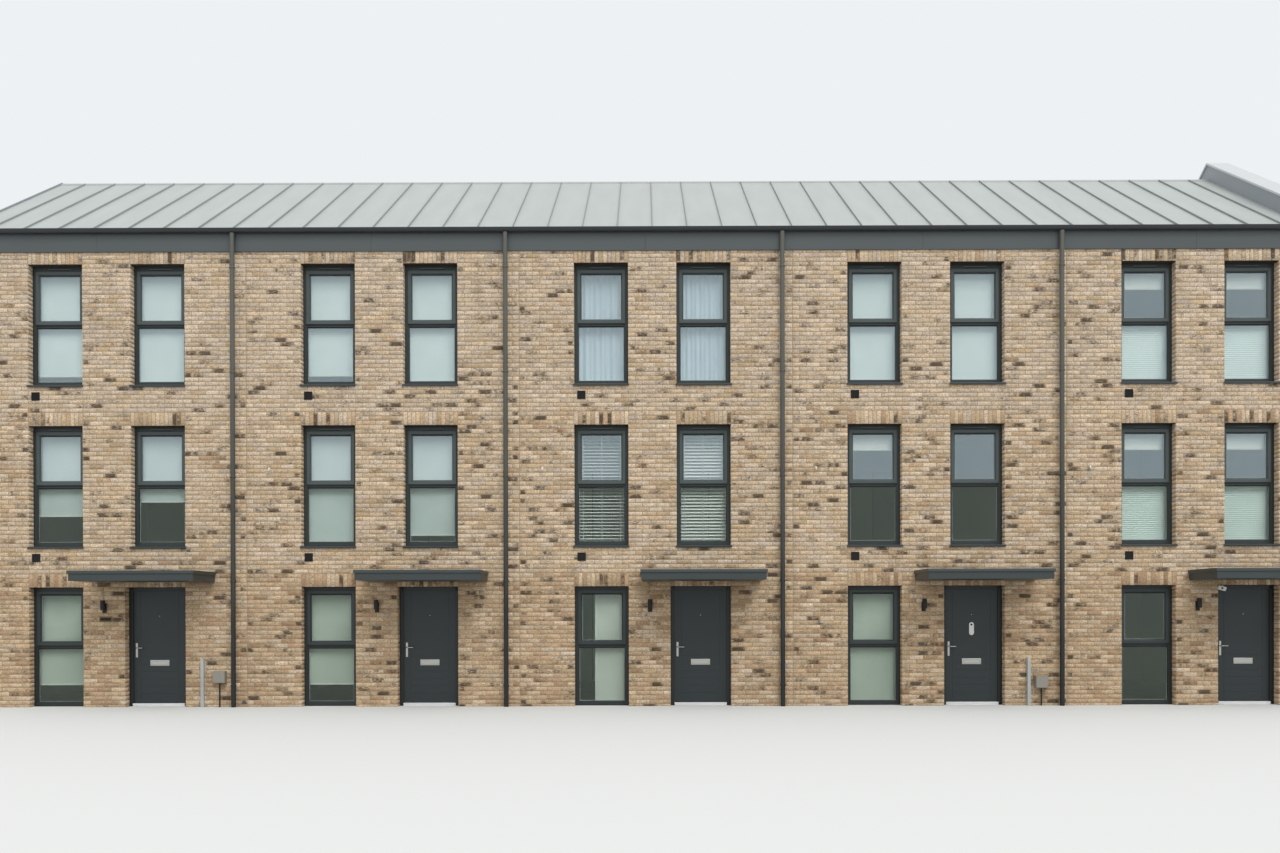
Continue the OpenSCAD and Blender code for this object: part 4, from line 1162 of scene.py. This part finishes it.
def cloth(name, points, columns, mat, node, soft=True):
    """A thin sheet of cloth from rows of points, with soft folds or with creases."""
    rows = len(points) // columns
    faces = [(r * columns + c, r * columns + c + 1, (r + 1) * columns + c + 1,
              (r + 1) * columns + c) for r in range(rows - 1) for c in range(columns - 1)]
    mesh = bpy.data.meshes.new(name)
    mesh.from_pydata(points, [], faces)
    if soft:
        mesh.shade_smooth()
    mesh.materials.append(mat)
    piece = settle(bpy.data.objects.new(name, mesh), [node])


def hang_blinds():
    """Roller blinds: flat cloth with a slight bow, and a weighted bar at the foot."""
    bars = Shape()
    count = {}
    columns, rows = 7, 9
    for low, high in solids("roller_blinds"):
        side = side_of((low, high))
        y = (low.y + high.y) / 2
        storey = storey_at(high.z)
        key = f"{SIDES[side]}_{STOREYS[storey]}"
        count[key] = count.get(key, 0) + 1
        points = []
        for r in range(rows):
            for c in range(columns):
                u, v = c / (columns - 1), r / (rows - 1)
                bow = 1.5 * MM * math.sin(math.pi * v) * (1 - 2 * abs(u - 0.5))
                points.append((low.x + (high.x - low.x) * u, y + side * bow,
                               low.z + CLOTH_FOOT + (high.z - low.z - CLOTH_FOOT) * v))
        woven_cloth = side_cloth if high.x - low.x < SIDE_BLIND_W else storey_cloths[storey]
        # Short blinds take the brightest cloth, as painted light
        if high.z - low.z < SHORT_BLIND_H:
            woven_cloth = short_cloth
        cloth(f"roller_blind_{key}_{count[key]}", points, columns, woven_cloth,
              "roller_blinds")
        bars.box(low, (high.x, high.y, low.z + FOOT_BAR_H), 2 * MM)
    bars.piece("blind_foot_bars", board_paint, "roller_blind")


PLEAT = 34 * MM


def hang_pleats():
    """Pleated blinds: cloth folded to and fro at each pleat."""
    for k, (low, high) in enumerate(solids("pleated_blinds")):
        count = 2 * round((high.z - low.z) / PLEAT)
        points = []
        for r in range(count + 1):
            y = low.y if r % 2 else high.y
            z = low.z + (high.z - low.z) * r / count
            points += [(low.x, y, z), (high.x, y, z)]
        cloth(f"pleated_blind_{k + 1}", points, 2, pleat_cloth,
              "pleated_blinds", False)


def hang_curtains():
    """Voile curtains, whose soft uneven folds take up about a seventh of their width."""
    for k, (low, high) in enumerate(solids("curtains")):
        rng = random.Random(CURTAIN_SEED + k)
        middle = (low.y + high.y) / 2
        reach = (high.y - low.y) / 2 - 8 * MM
        width = high.x - low.x
        waves = [(rng.uniform(5, 7), rng.uniform(0, 6.3), 0.55),
                 (rng.uniform(9, 12), rng.uniform(0, 6.3), 0.45)]
        columns, rows = 121, 12
        points = []
        for r in range(rows):
            v = r / (rows - 1)
            for c in range(columns):
                u = c / (columns - 1)
                fold = sum(size * math.sin(2 * math.pi * turns * u + start + 0.35 * v)
                           for turns, start, size in waves)
                points.append((low.x + width * u, middle + reach * fold * (1 - 0.25 * v),
                               low.z + (high.z - low.z) * v))
        row = [Vector(p) for p in points[:columns]]
        flat = sum((b - a).length for a, b in zip(row, row[1:]))
        cloth(f"curtain_{k + 1}", points, columns, voile, "curtains")


TAPE = 11 * MM
SLAT_PITCH = 57 * MM
# Width and tilt of the slats in each of the two windows
SLATS = ((50 * MM, math.radians(25)), (60 * MM, math.radians(42)))
SLAT_CROWN = 3 * MM
SLAT_T = 0.4 * MM
# Places of the ladder tapes, as shares of a blind's width
TAPE_SPOTS = (0.14, 0.5, 0.86)


def hang_slats():
    """Venetian blinds: curved slats on ladder tapes under a head rail."""
    slats, tapes = Shape(), Shape()
    for (low, high), (wide, tilt) in zip(solids("venetian_blinds"), SLATS):
        middle = (low.y + high.y) / 2
        slats.box((low.x, middle - 22 * MM, high.z - 32 * MM), (high.x, middle + 22 * MM, high.z),
                  2 * MM)
        slats.box((low.x, middle - 22 * MM, low.z), (high.x, middle + 22 * MM, low.z + 14 * MM),
                  2 * MM)
        z = low.z + SLAT_PITCH
        while z < high.z - 50 * MM:
            profile = []
            for turn, thick in ((1, 0), (-1, SLAT_T)):
                for step in range(5):
                    t = turn * (step / 4 - 0.5)
                    crown = SLAT_CROWN * (1 - 4 * t * t) + thick
                    across = t * wide
                    profile.append((middle + across * math.cos(tilt) - crown * math.sin(tilt),
                                    z + across * math.sin(tilt) + crown * math.cos(tilt)))
            slats.along_x(low.x + 2 * MM, high.x - 2 * MM, profile)
            z += SLAT_PITCH
        for share in TAPE_SPOTS:
            x = low.x + (high.x - low.x) * share
            for y in (low.y + 1 * MM, high.y - 1 * MM):
                tapes.box((x - TAPE / 2, y - 0.4 * MM, low.z + 6 * MM),
                          (x + TAPE / 2, y + 0.4 * MM, high.z - 20 * MM), 0.2 * MM)
    slats.piece("venetian_slats", slat_metal, "venetian_slats", ["venetian_blinds"])
    tapes.piece("venetian_ladders", board_paint, "venetian_slats")


# Doors

JAMB_FACE = 74 * MM
STOP_DEPTH = 20 * MM
LEAF_T = 50 * MM
LEAF_W = 920 * MM
LEAF_SKIN = 3.2 * MM
# The leaf's core lies this far under its faces
CORE_SET = 3 * MM
STILE = 128 * MM
GROOVE = 2.5 * MM
# The level boards reach between these heights above the leaf's foot
FIELD_FOOT, FIELD_TOP = 0.16, 0.80
BOARDS = 5
PLATE_T = 8 * MM
LEVER_Z = 1010 * MM
LETTERPLATE_Z = 750 * MM
VIEWER_Z = 1560 * MM


def leaf_face(shape, x0, x1, z0, z1, front, inward):
    """A flush leaf face with two upright V-grooves, and level ones below the middle."""
    edge = 1 * MM
    back = front + inward * LEAF_SKIN
    field_low, field_high = z0 + FIELD_FOOT, z0 + FIELD_TOP
    shape.box((x0, front, z0), (x0 + STILE, back, z1), edge)
    shape.box((x1 - STILE, front, z0), (x1, back, z1), edge)
    a, b = x0 + STILE + GROOVE, x1 - STILE - GROOVE
    shape.box((a, front, field_high + GROOVE), (b, back, z1), edge)
    board = (field_high - field_low) / BOARDS
    for k in range(BOARDS):
        low = field_low + k * board
        shape.box((a, front, low + GROOVE / 2), (b, back, low + board - GROOVE / 2), edge)
    shape.box((a, front, z0), (b, back, field_low - GROOVE / 2), edge)


def knuckles(shape, low, high, fixed):
    """Turned hinge knuckles with their plates, on the leaf's side or the frame's side."""
    radius = 7 * MM
    pin = Vector((high.x - radius, high.y - radius, 0))
    one, gap, inset_h = 32 * MM, 0.3 * MM, 220 * MM
    whole = 3 * one + 2 * gap
    levels = [low.z + inset_h, (low.z + high.z - whole) / 2, high.z - inset_h - whole]
    turn = 1 if fixed else -1
    for level in levels:
        for k in ((0, 2) if fixed else (1,)):
            z = level + k * (one + gap)
            shape.turned((pin.x, pin.y, z), (0, 0, 1),
                         [(0, radius - 1 * MM), (1 * MM, radius), (one - 1 * MM, radius),
                          (one, radius - 1 * MM)], 20)
            shape.box((pin.x + turn * 4 * MM, pin.y - 12 * MM, z),
                      (pin.x + turn * 36 * MM, pin.y - 9 * MM, z + one), 0.8 * MM)
            shape.box((pin.x + turn * 4 * MM, pin.y - 12 * MM, z),
                      (pin.x + turn * 7 * MM, pin.y, z + one), 0.8 * MM)


def hang_doors():
    """Front doors with grooved faces, levers, letterplates and viewers."""
    for k in range(1, 6):
        low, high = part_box(f"front_door_{k}")
        body = f"door_{k}"
        x0, x1 = low.x, low.x + LEAF_W
        leaf = Shape()
        leaf.box((x0 + 0.5 * MM, low.y + CORE_SET, low.z + 0.5 * MM),
                 (x1 - 0.5 * MM, low.y + LEAF_T - CORE_SET, high.z - 0.5 * MM), 1 * MM)
        leaf_face(leaf, x0, x1, low.z, high.z, low.y, 1)
        leaf_face(leaf, x0, x1, low.z, high.z, low.y + LEAF_T, -1)
        knuckles(leaf, low, high, False)
        leaf.piece(f"door_leaf_{k}", door_skin, "door_leaf", [f"front_door_{k}"], body)
        metal = Shape()
        furniture(metal, x0, low.y, -1)
        furniture(metal, x0, low.y + LEAF_T, 1)
        viewer(metal, (x0 + x1) / 2, low.y)
        metal.piece(f"door_metal_{k}", steel, "door_metal", [f"door_furniture_{k}"], body)


def furniture(shape, x0, face, out):
    """Lever on a rounded backplate, and a letterplate with a hinged flap."""
    x = x0 + 62 * MM
    shape.box((x - 18 * MM, face, LEVER_Z - 165 * MM),
              (x + 18 * MM, face + out * PLATE_T, LEVER_Z + 85 * MM), 3 * MM)
    reach = face + out * 50 * MM
    radius = 9.5 * MM
    bend = [(x, face + out * PLATE_T * 0.5, LEVER_Z), (x, reach - out * 14 * MM, LEVER_Z)]
    for k in range(1, 6):
        angle = math.pi / 2 * k / 5
        bend.append((x + 14 * MM * (1 - math.cos(angle)),
                     reach - out * 14 * MM * (1 - math.sin(angle)), LEVER_Z))
    bend.append((x + 118 * MM, reach, LEVER_Z))
    shape.tube(bend, radius, 18)
    shape.turned((x, face + out * PLATE_T, LEVER_Z), (0, out, 0),
                 [(0, 15 * MM), (4 * MM, 15 * MM), (6 * MM, 12 * MM)], 24)
    for z in (LEVER_Z - 150 * MM, LEVER_Z + 70 * MM):
        shape.turned((x, face + out * PLATE_T, z), (0, out, 0),
                     [(0, 4 * MM), (0.8 * MM, 4 * MM), (1.4 * MM, 2.5 * MM)], 12)
    middle = x0 + LEAF_W / 2
    half_w, half_h, level = 165 * MM, 50 * MM, LETTERPLATE_Z
    rects = [(half_w, half_h, 0), (half_w, half_h, 4), (half_w - 3 * MM, half_h - 3 * MM, 6),
             (half_w - 22 * MM, half_h - 20 * MM, 6), (half_w - 24 * MM, half_h - 22 * MM, 3.5)]
    shape.loft([standing((middle - a, level - b, middle + a, level + b), face + out * d * MM)
                for a, b, d in rects])
    shape.box((middle - half_w + 25 * MM, face + out * 2 * MM, level - half_h + 23 * MM),
              (middle + half_w - 25 * MM, face + out * 6.5 * MM, level + half_h - 23 * MM), 2 * MM)
    shape.box((middle - 20 * MM, face + out * 5 * MM, level - half_h + 18 * MM),
              (middle + 20 * MM, face + out * PLATE_T, level - half_h + 24 * MM), 1 * MM)


def viewer(shape, x, face):
    """A round viewer with a hollow in its middle."""
    shape.turned((x, face, VIEWER_Z), (0, -1, 0),
                 [(0, 11 * MM), (4 * MM, 11 * MM), (PLATE_T, 8 * MM), (6 * MM, 5 * MM),
                  (5 * MM, 2 * MM)], 20)


def rear_leaves():
    """Rear doors with the same grooved faces, and no levers or letterplates."""
    leaf = Shape()
    for low, high in solids("rear_doors"):
        x0, x1 = low.x, low.x + LEAF_W
        face = high.y
        leaf.box((x0, face - LEAF_T + CORE_SET, low.z), (x1, face - CORE_SET, high.z), 1 * MM)
        leaf_face(leaf, x0, x1, low.z, high.z, face, -1)
        leaf_face(leaf, x0, x1, low.z, high.z, face - LEAF_T, 1)
    leaf.piece("rear_door_leaves", door_skin, "door_leaf", ["rear_doors"])


def door_frames():
    """Jambs and heads with softened edges and a dark seal, thresholds, and hinge halves."""
    for side in (STREET, REAR):
        cases, seal, sills = Shape(), Shape(), Shape()
        mine = [b for b in jambs if side_of(b) == side]
        for (low, _), (_, high) in zip(mine[0::2], mine[1::2]):
            a, b, top = low.x, high.x, HEAD
            face = WINDOW_FACE
            soft = 3 * MM
            rebate = JAMB_FACE - 17 * MM
            back = face - STOP_DEPTH - 55 * MM
            for x, turn in ((a, 1), (b, -1)):
                section = [(x, face - soft), (x + turn * soft, face),
                           (x + turn * (JAMB_FACE - soft), face),
                           (x + turn * JAMB_FACE, face - soft),
                           (x + turn * JAMB_FACE, face - STOP_DEPTH),
                           (x + turn * rebate, face - STOP_DEPTH), (x + turn * rebate, back),
                           (x, back)]
                cases.loft([[(u, side * d, z) for u, d in section] for z in (0, top)])
                seal.box((x + turn * (rebate + 1 * MM), side * (face - STOP_DEPTH), 60 * MM),
                         (x + turn * (JAMB_FACE - 1 * MM), side * (face - STOP_DEPTH - 4 * MM),
                          top - JAMB_FACE), 1 * MM)
            section = [(face - soft, top), (face, top - soft), (face, top - JAMB_FACE + soft),
                       (face - soft, top - JAMB_FACE), (face - STOP_DEPTH, top - JAMB_FACE),
                       (face - STOP_DEPTH, top - rebate), (back, top - rebate), (back, top)]
            cases.along_x(a + rebate, b - rebate, section, side)
            nose = face + 30 * MM
            sill = [(back, 0), (nose, 0), (nose, 10 * MM), (nose - 8 * MM, 12 * MM),
                    (nose - 8 * MM, 22 * MM), (nose, 24 * MM), (nose, 46 * MM),
                    (nose - 4 * MM, 50 * MM), (face - 18 * MM, 50 * MM), (face - 20 * MM, 46 * MM),
                    (face - 24 * MM, 46 * MM), (face - 26 * MM, 50 * MM), (back, 50 * MM)]
            sills.along_x(a + JAMB_FACE, b - JAMB_FACE, sill, side)
        if side == STREET:
            for k in range(1, 6):
                knuckles(cases, *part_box(f"front_door_{k}"), True)
        cases.piece(f"door_frames_{SIDES[side]}", door_frame_plastic, "door_frame",
                    ["door_jambs", "door_heads"])
        seal.piece(f"door_seals_{SIDES[side]}", gasket_rubber, "door_frame")
        sills.piece(f"door_thresholds_{SIDES[side]}", threshold_metal, "threshold_metal",
                    ["door_thresholds"])


# Roof and eaves

def roof_line():
    """Height of the roof sheet's top at the ridge, and its fall for each metre."""
    low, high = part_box("front_roof")
    top = high.z
    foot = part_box("front_roof_seams")[0].z
    return top, (top - foot) / abs(low.y)


def standing_seams():
    """Double-lock seams: a thin upright with a folded head, over the whole slope."""
    ridge, fall = roof_line()
    pitch = math.atan(fall)
    rise = 1 / math.cos(pitch)
    for side, node in ((STREET, "front_roof_seams"), (REAR, "rear_roof_seams")):
        seams = Shape()
        for low, high in solids(node):
            x = (low.x + high.x) / 2
            far = max(abs(low.y), abs(high.y))
            section = [(-6, 0), (-2.5, 2.5), (-1.8, 6), (-1.8, 20), (-5.5, 20.5), (-6, 22),
                       (-6, 30), (-4.5, 32), (1.5, 32), (2.5, 30.5), (2.5, 3), (6, 0)]
            loops = []
            for y in (far, 78 * MM):
                loops.append([(x + u * MM, side * y, ridge - y * fall + 0.3 * MM + h * MM * rise)
                              for u, h in section])
            seams.loft(loops)
        seams.piece(node.replace("roof_seams", "standing_seams"), seam_metal, "roof_seam",
                    [node])


TROUGH_STEPS = 12
GUTTER_T = 3 * MM
STRAP_T = 2 * MM
# A joint of the fascia lies this far to the right of each downpipe's middle
PIPE_TO_JOINT = 0.03
FASCIA_GAP = 1.5 * MM


def trough(middle, level, radius, drop):
    """Half an oval that hangs from a level, as (distance, height) points."""
    return [(middle - radius * math.cos(math.pi * k / TROUGH_STEPS),
             level - drop * math.sin(math.pi * k / TROUGH_STEPS))
            for k in range(TROUGH_STEPS + 1)]


def eaves():
    """Half-round gutters with a rolled bead and brackets, and fascias made of panels."""
    pipes = sorted({round((low.x + high.x) / 2, 4) for low, high in solids("downpipes")})
    seam_xs = [(low.x + high.x) / 2 for low, high in solids("front_roof_seams")]
    joints = [LEFT] + [x + PIPE_TO_JOINT for x in pipes] + [RIGHT]
    for side in (STREET, REAR):
        low, high = [box for box in solids("gutters") if side_of(box) == side][0]
        back, front = sorted((abs(low.y), abs(high.y)))
        gutter, straps, fascia = Shape(), Shape(), Shape()
        middle, radius = (back + front) / 2, (front - back) / 2 - GUTTER_T
        level, drop = high.z - GUTTER_T, high.z - low.z - 2 * GUTTER_T
        shell = trough(middle, level, radius, drop)
        inner = [(d, min(z + GUTTER_T, level))
                 for d, z in trough(middle, level, radius * 0.955, drop * 0.955)]
        bead = [(front - 2 * MM, high.z - 9 * MM), (front, high.z - 4 * MM),
                (front - 1 * MM, high.z), (front - 8 * MM, high.z)]
        gutter.along_x(low.x, high.x, shell[:-1] + bead + inner[::-1], side)
        wrap = [(d, z - STRAP_T) for d, z in shell]
        for x in seam_xs:
            straps.along_x(x - 12 * MM, x + 12 * MM, wrap + shell[::-1], side)
        gutter.piece(f"gutter_{SIDES[side]}", gutter_metal, "eaves_metal", ["gutters"])
        straps.piece(f"gutter_brackets_{SIDES[side]}", gutter_metal, "eaves_metal")
        low, high = [box for box in solids("fascia_boards") if side_of(box) == side][0]
        back, face = sorted((abs(low.y), abs(high.y)))
        section = [(back, low.z), (face - 12 * MM, low.z), (face - 1 * MM, low.z + 3 * MM),
                   (face, low.z + 6 * MM), (face, high.z - 2 * MM), (face - 2 * MM, high.z),
                   (back, high.z)]
        for p, q in zip(joints, joints[1:]):
            for u, v in ((p, p + (q - p) / 2), (p + (q - p) / 2, q)):
                fascia.along_x(u + FASCIA_GAP, v - FASCIA_GAP, section, side)
        fascia.piece(f"fascia_{SIDES[side]}", fascia_metal, "eaves_metal", ["fascia_boards"])


# No socket collar is lower than this
LOWEST_COLLAR = 0.4


def downpipes():
    """Round pipes with a socket collar above each clip, and the clips round them."""
    for side in (STREET, REAR):
        pipes = Shape()
        boxes = [b for b in solids("downpipes") if side_of(b) == side]
        clips = [b for b in solids("pipe_clips") if side_of(b) == side]
        levels = sorted({round((low.z + high.z) / 2, 4) for low, high in clips})
        for low, high in boxes:
            x = (low.x + high.x) / 2
            y = (low.y + high.y) / 2
            radius = (high.x - low.x) / 2
            body = radius - 3 * MM
            profile = [(0, body)]
            for level in levels:
                if level > LOWEST_COLLAR:
                    profile += [(level + 40 * MM, body), (level + 42 * MM, radius),
                                (level + 96 * MM, radius), (level + 100 * MM, body)]
            profile += [(high.z, body)]
            pipes.turned((x, y, 0), (0, 0, 1), profile, 28)
        pipes.piece(f"downpipes_{SIDES[side]}", pipe_metal, "pipe_metal", ["downpipes"])
        bands = Shape()
        for low, high in clips:
            x = (low.x + high.x) / 2
            near, far = sorted((abs(low.y), abs(high.y)))
            radius = (high.x - low.x) / 2
            y = side * (far - radius)
            bands.turned((x, y, low.z), (0, 0, 1),
                         [(0, radius - 6 * MM), (0, radius - 1 * MM), (1.5 * MM, radius),
                          (high.z - low.z - 1.5 * MM, radius), (high.z - low.z, radius - 1 * MM),
                          (high.z - low.z, radius - 6 * MM)], 28)
            bands.box((x - 12 * MM, side * near, low.z), (x + 12 * MM, y, high.z), 1.5 * MM)
            for turn in (-1, 1):
                bands.box((x + turn * (radius - 2 * MM), y - 4 * MM, low.z + 4 * MM),
                          (x + turn * radius, y + 4 * MM, high.z - 4 * MM), 1 * MM)
        bands.piece(f"pipe_clips_{SIDES[side]}", pipe_metal, "pipe_metal", ["pipe_clips"])


# Wall fittings

SKIRT_SET = 18 * MM
RIM_H = 55 * MM


def canopies():
    """Flat canopies: a folded skirt under a wider rim."""
    shape = Shape()
    for low, high in solids("canopies"):
        body_top = high.z - RIM_H
        y0, wall = low.y, -WALL
        shape.box((low.x + SKIRT_SET, y0 + SKIRT_SET, low.z),
                  (high.x - SKIRT_SET, wall, body_top + 2 * MM), 3 * MM)
        rim = [(wall, body_top), (y0 + 3 * MM, body_top), (y0, body_top + 4 * MM),
               (y0, high.z - 8 * MM), (y0 + 3 * MM, high.z - 3 * MM), (y0 + 10 * MM, high.z),
               (wall, high.z)]
        shape.along_x(low.x, high.x, rim)
    shape.piece("door_canopies", canopy_metal, "canopy_skin", ["canopies"])


# The body of a wall light stands this much higher than its wall plate
LIGHT_LIFT = 50 * MM
LIGHT_PLATE = 37 * MM


def wall_lights():
    """Up-and-down lights: a turned body with recessed lenses, on an arm from a wall plate."""
    shape, lens = Shape(), Shape()
    for low, high in solids("wall_lights"):
        x = (low.x + high.x) / 2
        radius = (high.x - low.x) / 2
        y = low.y + radius
        foot = low.z + LIGHT_LIFT
        tall = high.z - foot
        shape.turned((x, y, foot), (0, 0, 1),
                     [(12 * MM, radius - 8 * MM), (0, radius - 5 * MM), (0, radius - 1 * MM),
                      (2 * MM, radius), (tall - 2 * MM, radius), (tall, radius - 1 * MM),
                      (tall, radius - 5 * MM), (tall - 12 * MM, radius - 8 * MM)], 32)
        shape.box((x - LIGHT_PLATE, high.y - 12 * MM, low.z),
                  (x + LIGHT_PLATE, high.y, high.z - LIGHT_LIFT), 4 * MM)
        z = (low.z + high.z) / 2
        shape.box((x - 14 * MM, y, z - 28 * MM),
                  (x + 14 * MM, high.y - 5 * MM, z + 28 * MM), 2 * MM)
        for end in (8 * MM, tall - 8 * MM):
            lens.turned((x, y, foot + end), (0, 0, 1),
                        [(0, radius - 10 * MM), (1 * MM, radius - 9 * MM)], 24)
    shape.piece("wall_lights_black", black_metal, "black_metal", ["wall_lights"])
    lens.piece("wall_light_lenses", spacer_metal, "black_metal")


BLADES = 6


def wall_vents():
    """Square vents: a raised rim round sloping louvre blades."""
    shape = Shape()
    for low, high in solids("wall_vents"):
        face = low.y
        rect = (low.x, low.z, high.x, high.z)
        shape.loft([standing(inset(rect, size), y) for size, y in
                    ((0, high.y), (0, face + 2 * MM), (2 * MM, face), (14 * MM, face),
                     (16 * MM, face + 7 * MM))])
        x0, z0, x1, z1 = inset(rect, 15 * MM)
        for k in range(BLADES):
            z = z0 + (z1 - z0) * (k + 0.5) / BLADES
            shape.along_x(x0, x1, [(face + 7 * MM, z + 7 * MM), (face + 6 * MM, z + 8 * MM),
                                   (face + 0.5 * MM, z - 4 * MM), (face + 1.5 * MM, z - 5 * MM),
                                   (face + 7 * MM, z + 4 * MM)])
    shape.piece("louvred_vents", vent_plastic, "vent_plastic", ["wall_vents"])


METER_H = 210 * MM
METER_PIPE_R = 13 * MM
COVER_FLANGE = 12 * MM
COVER_SCREWS = (0.15, 0.40, 0.65)


def small_fittings():
    """Blank number plate, meter boxes with their pipes, and cable covers."""
    plate, rim = Shape(), Shape()
    for low, high in solids("number_plate"):
        plate.box((low.x, low.y + 3 * MM, low.z), (high.x, high.y, high.z), 1.5 * MM)
        rect = (low.x, low.z, high.x, high.z)
        rim.loft([standing(inset(rect, size), y) for size, y in
                  ((7 * MM, low.y + 4 * MM), (7 * MM, low.y + 0.5 * MM), (8 * MM, low.y),
                   (15 * MM, low.y), (16 * MM, low.y + 3.2 * MM))], closed=True)
    plate.piece("number_plate_blank", plate_slate, "number_plate", ["number_plate"])
    rim.piece("number_plate_rim", rim_metal, "number_plate")
    boxes, stems = Shape(), Shape()
    for low, high in solids("meter_boxes"):
        z = high.z - METER_H
        face = low.y
        boxes.box((low.x, face + 8 * MM, z), (high.x, high.y, high.z), 4 * MM)
        boxes.box((low.x + 6 * MM, face, z + 8 * MM), (high.x - 6 * MM, face + 10 * MM,
                                                       high.z - 8 * MM), 5 * MM)
        boxes.turned((high.x - 22 * MM, face + 1 * MM, z + 110 * MM), (0, -1, 0),
                     [(0, 9 * MM), (0.5 * MM, 9 * MM), (0.8 * MM, 7 * MM)], 16)
        stems.turned(((low.x + high.x) / 2, (low.y + high.y) / 2, 0), (0, 0, 1),
                     [(0, METER_PIPE_R), (z, METER_PIPE_R)], 20)
    boxes.piece("meter_boxes_grey", meter_plastic, "meter_plastic", ["meter_boxes"])
    stems.piece("meter_pipes", black_metal, "meter_plastic", ["meter_boxes"])
    covers = Shape()
    for low, high in solids("cable_covers"):
        left, right, base = low.x + COVER_FLANGE, high.x - COVER_FLANGE, high.y - 2 * MM
        covers.loft([[(low.x, high.y, z), (low.x, base, z), (left, base, z),
                      (left, low.y + 3 * MM, z), (left + 3 * MM, low.y, z),
                      (right - 3 * MM, low.y, z), (right, low.y + 3 * MM, z), (right, base, z),
                      (high.x, base, z), (high.x, high.y, z)] for z in (0, high.z)])
        for z in COVER_SCREWS:
            for x in (low.x + 6 * MM, high.x - 6 * MM):
                covers.turned((x, base, z), (0, -1, 0),
                              [(0, 4 * MM), (2 * MM, 3.5 * MM), (3 * MM, 2 * MM)], 10)
    covers.piece("cable_covers_metal", cover_metal, "cover_metal", ["cable_covers"])


OVERFLOW_SIDE = 0.60
OVERFLOW_Z = 4.06


def overflow_pipes():
    """Short white pipes with a bend, low on the first floor of each house."""
    shape = Shape()
    bend = ((-20, 30), (22, 30), (34, 24), (40, 12), (40, -12))
    for line in [LEFT] + [x - MOVEMENT_SIDE for x in movement_lines()]:
        shape.tube([(line + OVERFLOW_SIDE, -(WALL + out * MM), OVERFLOW_Z + up * MM)
                    for out, up in bend], 14 * MM, 14)
    shape.piece("overflow_pipes", white_plastic, "vent_plastic")


TAG_Z = 1.315


def door_tag():
    """A blank white oval tag with a dark hole, on the fourth door below its viewer."""
    low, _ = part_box("front_door_4")
    x, z = low.x + LEAF_W / 2, TAG_Z
    half_w, half_h, thick = 42 * MM, 112 * MM, 4 * MM
    tag, hole = Shape(), Shape()
    loops = []
    for size, depth in ((0, 0), (0, thick - 1 * MM), (1 * MM, thick)):
        loop = []
        for k in range(40):
            angle = 2 * math.pi * k / 40
            rise = half_h - half_w if math.sin(angle) > 0 else half_w - half_h
            loop.append((x + (half_w - size) * math.cos(angle), low.y - depth,
                         z + rise + (half_w - size) * math.sin(angle)))
        loops.append(loop)
    tag.loft(loops)
    hole.turned((x, low.y - thick, z + half_h - half_w), (0, -1, 0),
                [(0, 18 * MM), (0.6 * MM, 18 * MM), (1 * MM, 15 * MM)], 24)
    tag.piece("blank_door_tag", white_plastic, "door_metal", body="door_4")
    hole.piece("door_tag_hole", black_metal, "door_metal", body="door_4")


EYE_TURN, EYE_TILT = math.radians(-14), math.radians(16)


def corner_eye():
    """A small pale box with a lens, tilted in the upper left corner of the last doorway."""
    x0, _, _, head = openings(STREET)[-1]
    case, lens = Shape(), Shape()
    case.box((-66 * MM, -30 * MM, -36 * MM), (66 * MM, 30 * MM, 36 * MM), 8 * MM)
    lens.turned((0, -30 * MM, 0), (0, -1, 0), [(0, 16 * MM), (2 * MM, 15 * MM), (3 * MM, 9 * MM)])
    case.box((-10 * MM, -10 * MM, 30 * MM), (10 * MM, 10 * MM, 46 * MM), 2 * MM)
    spot = Matrix.Translation((x0 + 68 * MM, -(WALL + 6 * MM), head - 62 * MM))
    spot = spot @ Matrix.Rotation(EYE_TURN, 4, "Z") @ Matrix.Rotation(EYE_TILT, 4, "Y")
    for shape in (case, lens):
        shape.points = [tuple(spot @ Vector(point)) for point in shape.points]
    case.piece("corner_eye_case", white_plastic, "meter_plastic")
    lens.piece("corner_eye_lens", black_metal, "black_metal")


place_camera()
light_scene()
lay_floor()
paint_nodes()
lay_bricks()
fit_lintels()
fit_windows()
fit_cills()
hang_blinds()
hang_pleats()
hang_curtains()
hang_slats()
hang_doors()
rear_leaves()
door_frames()
standing_seams()
eaves()
downpipes()
canopies()
wall_lights()
wall_vents()
small_fittings()
overflow_pipes()
door_tag()
corner_eye()
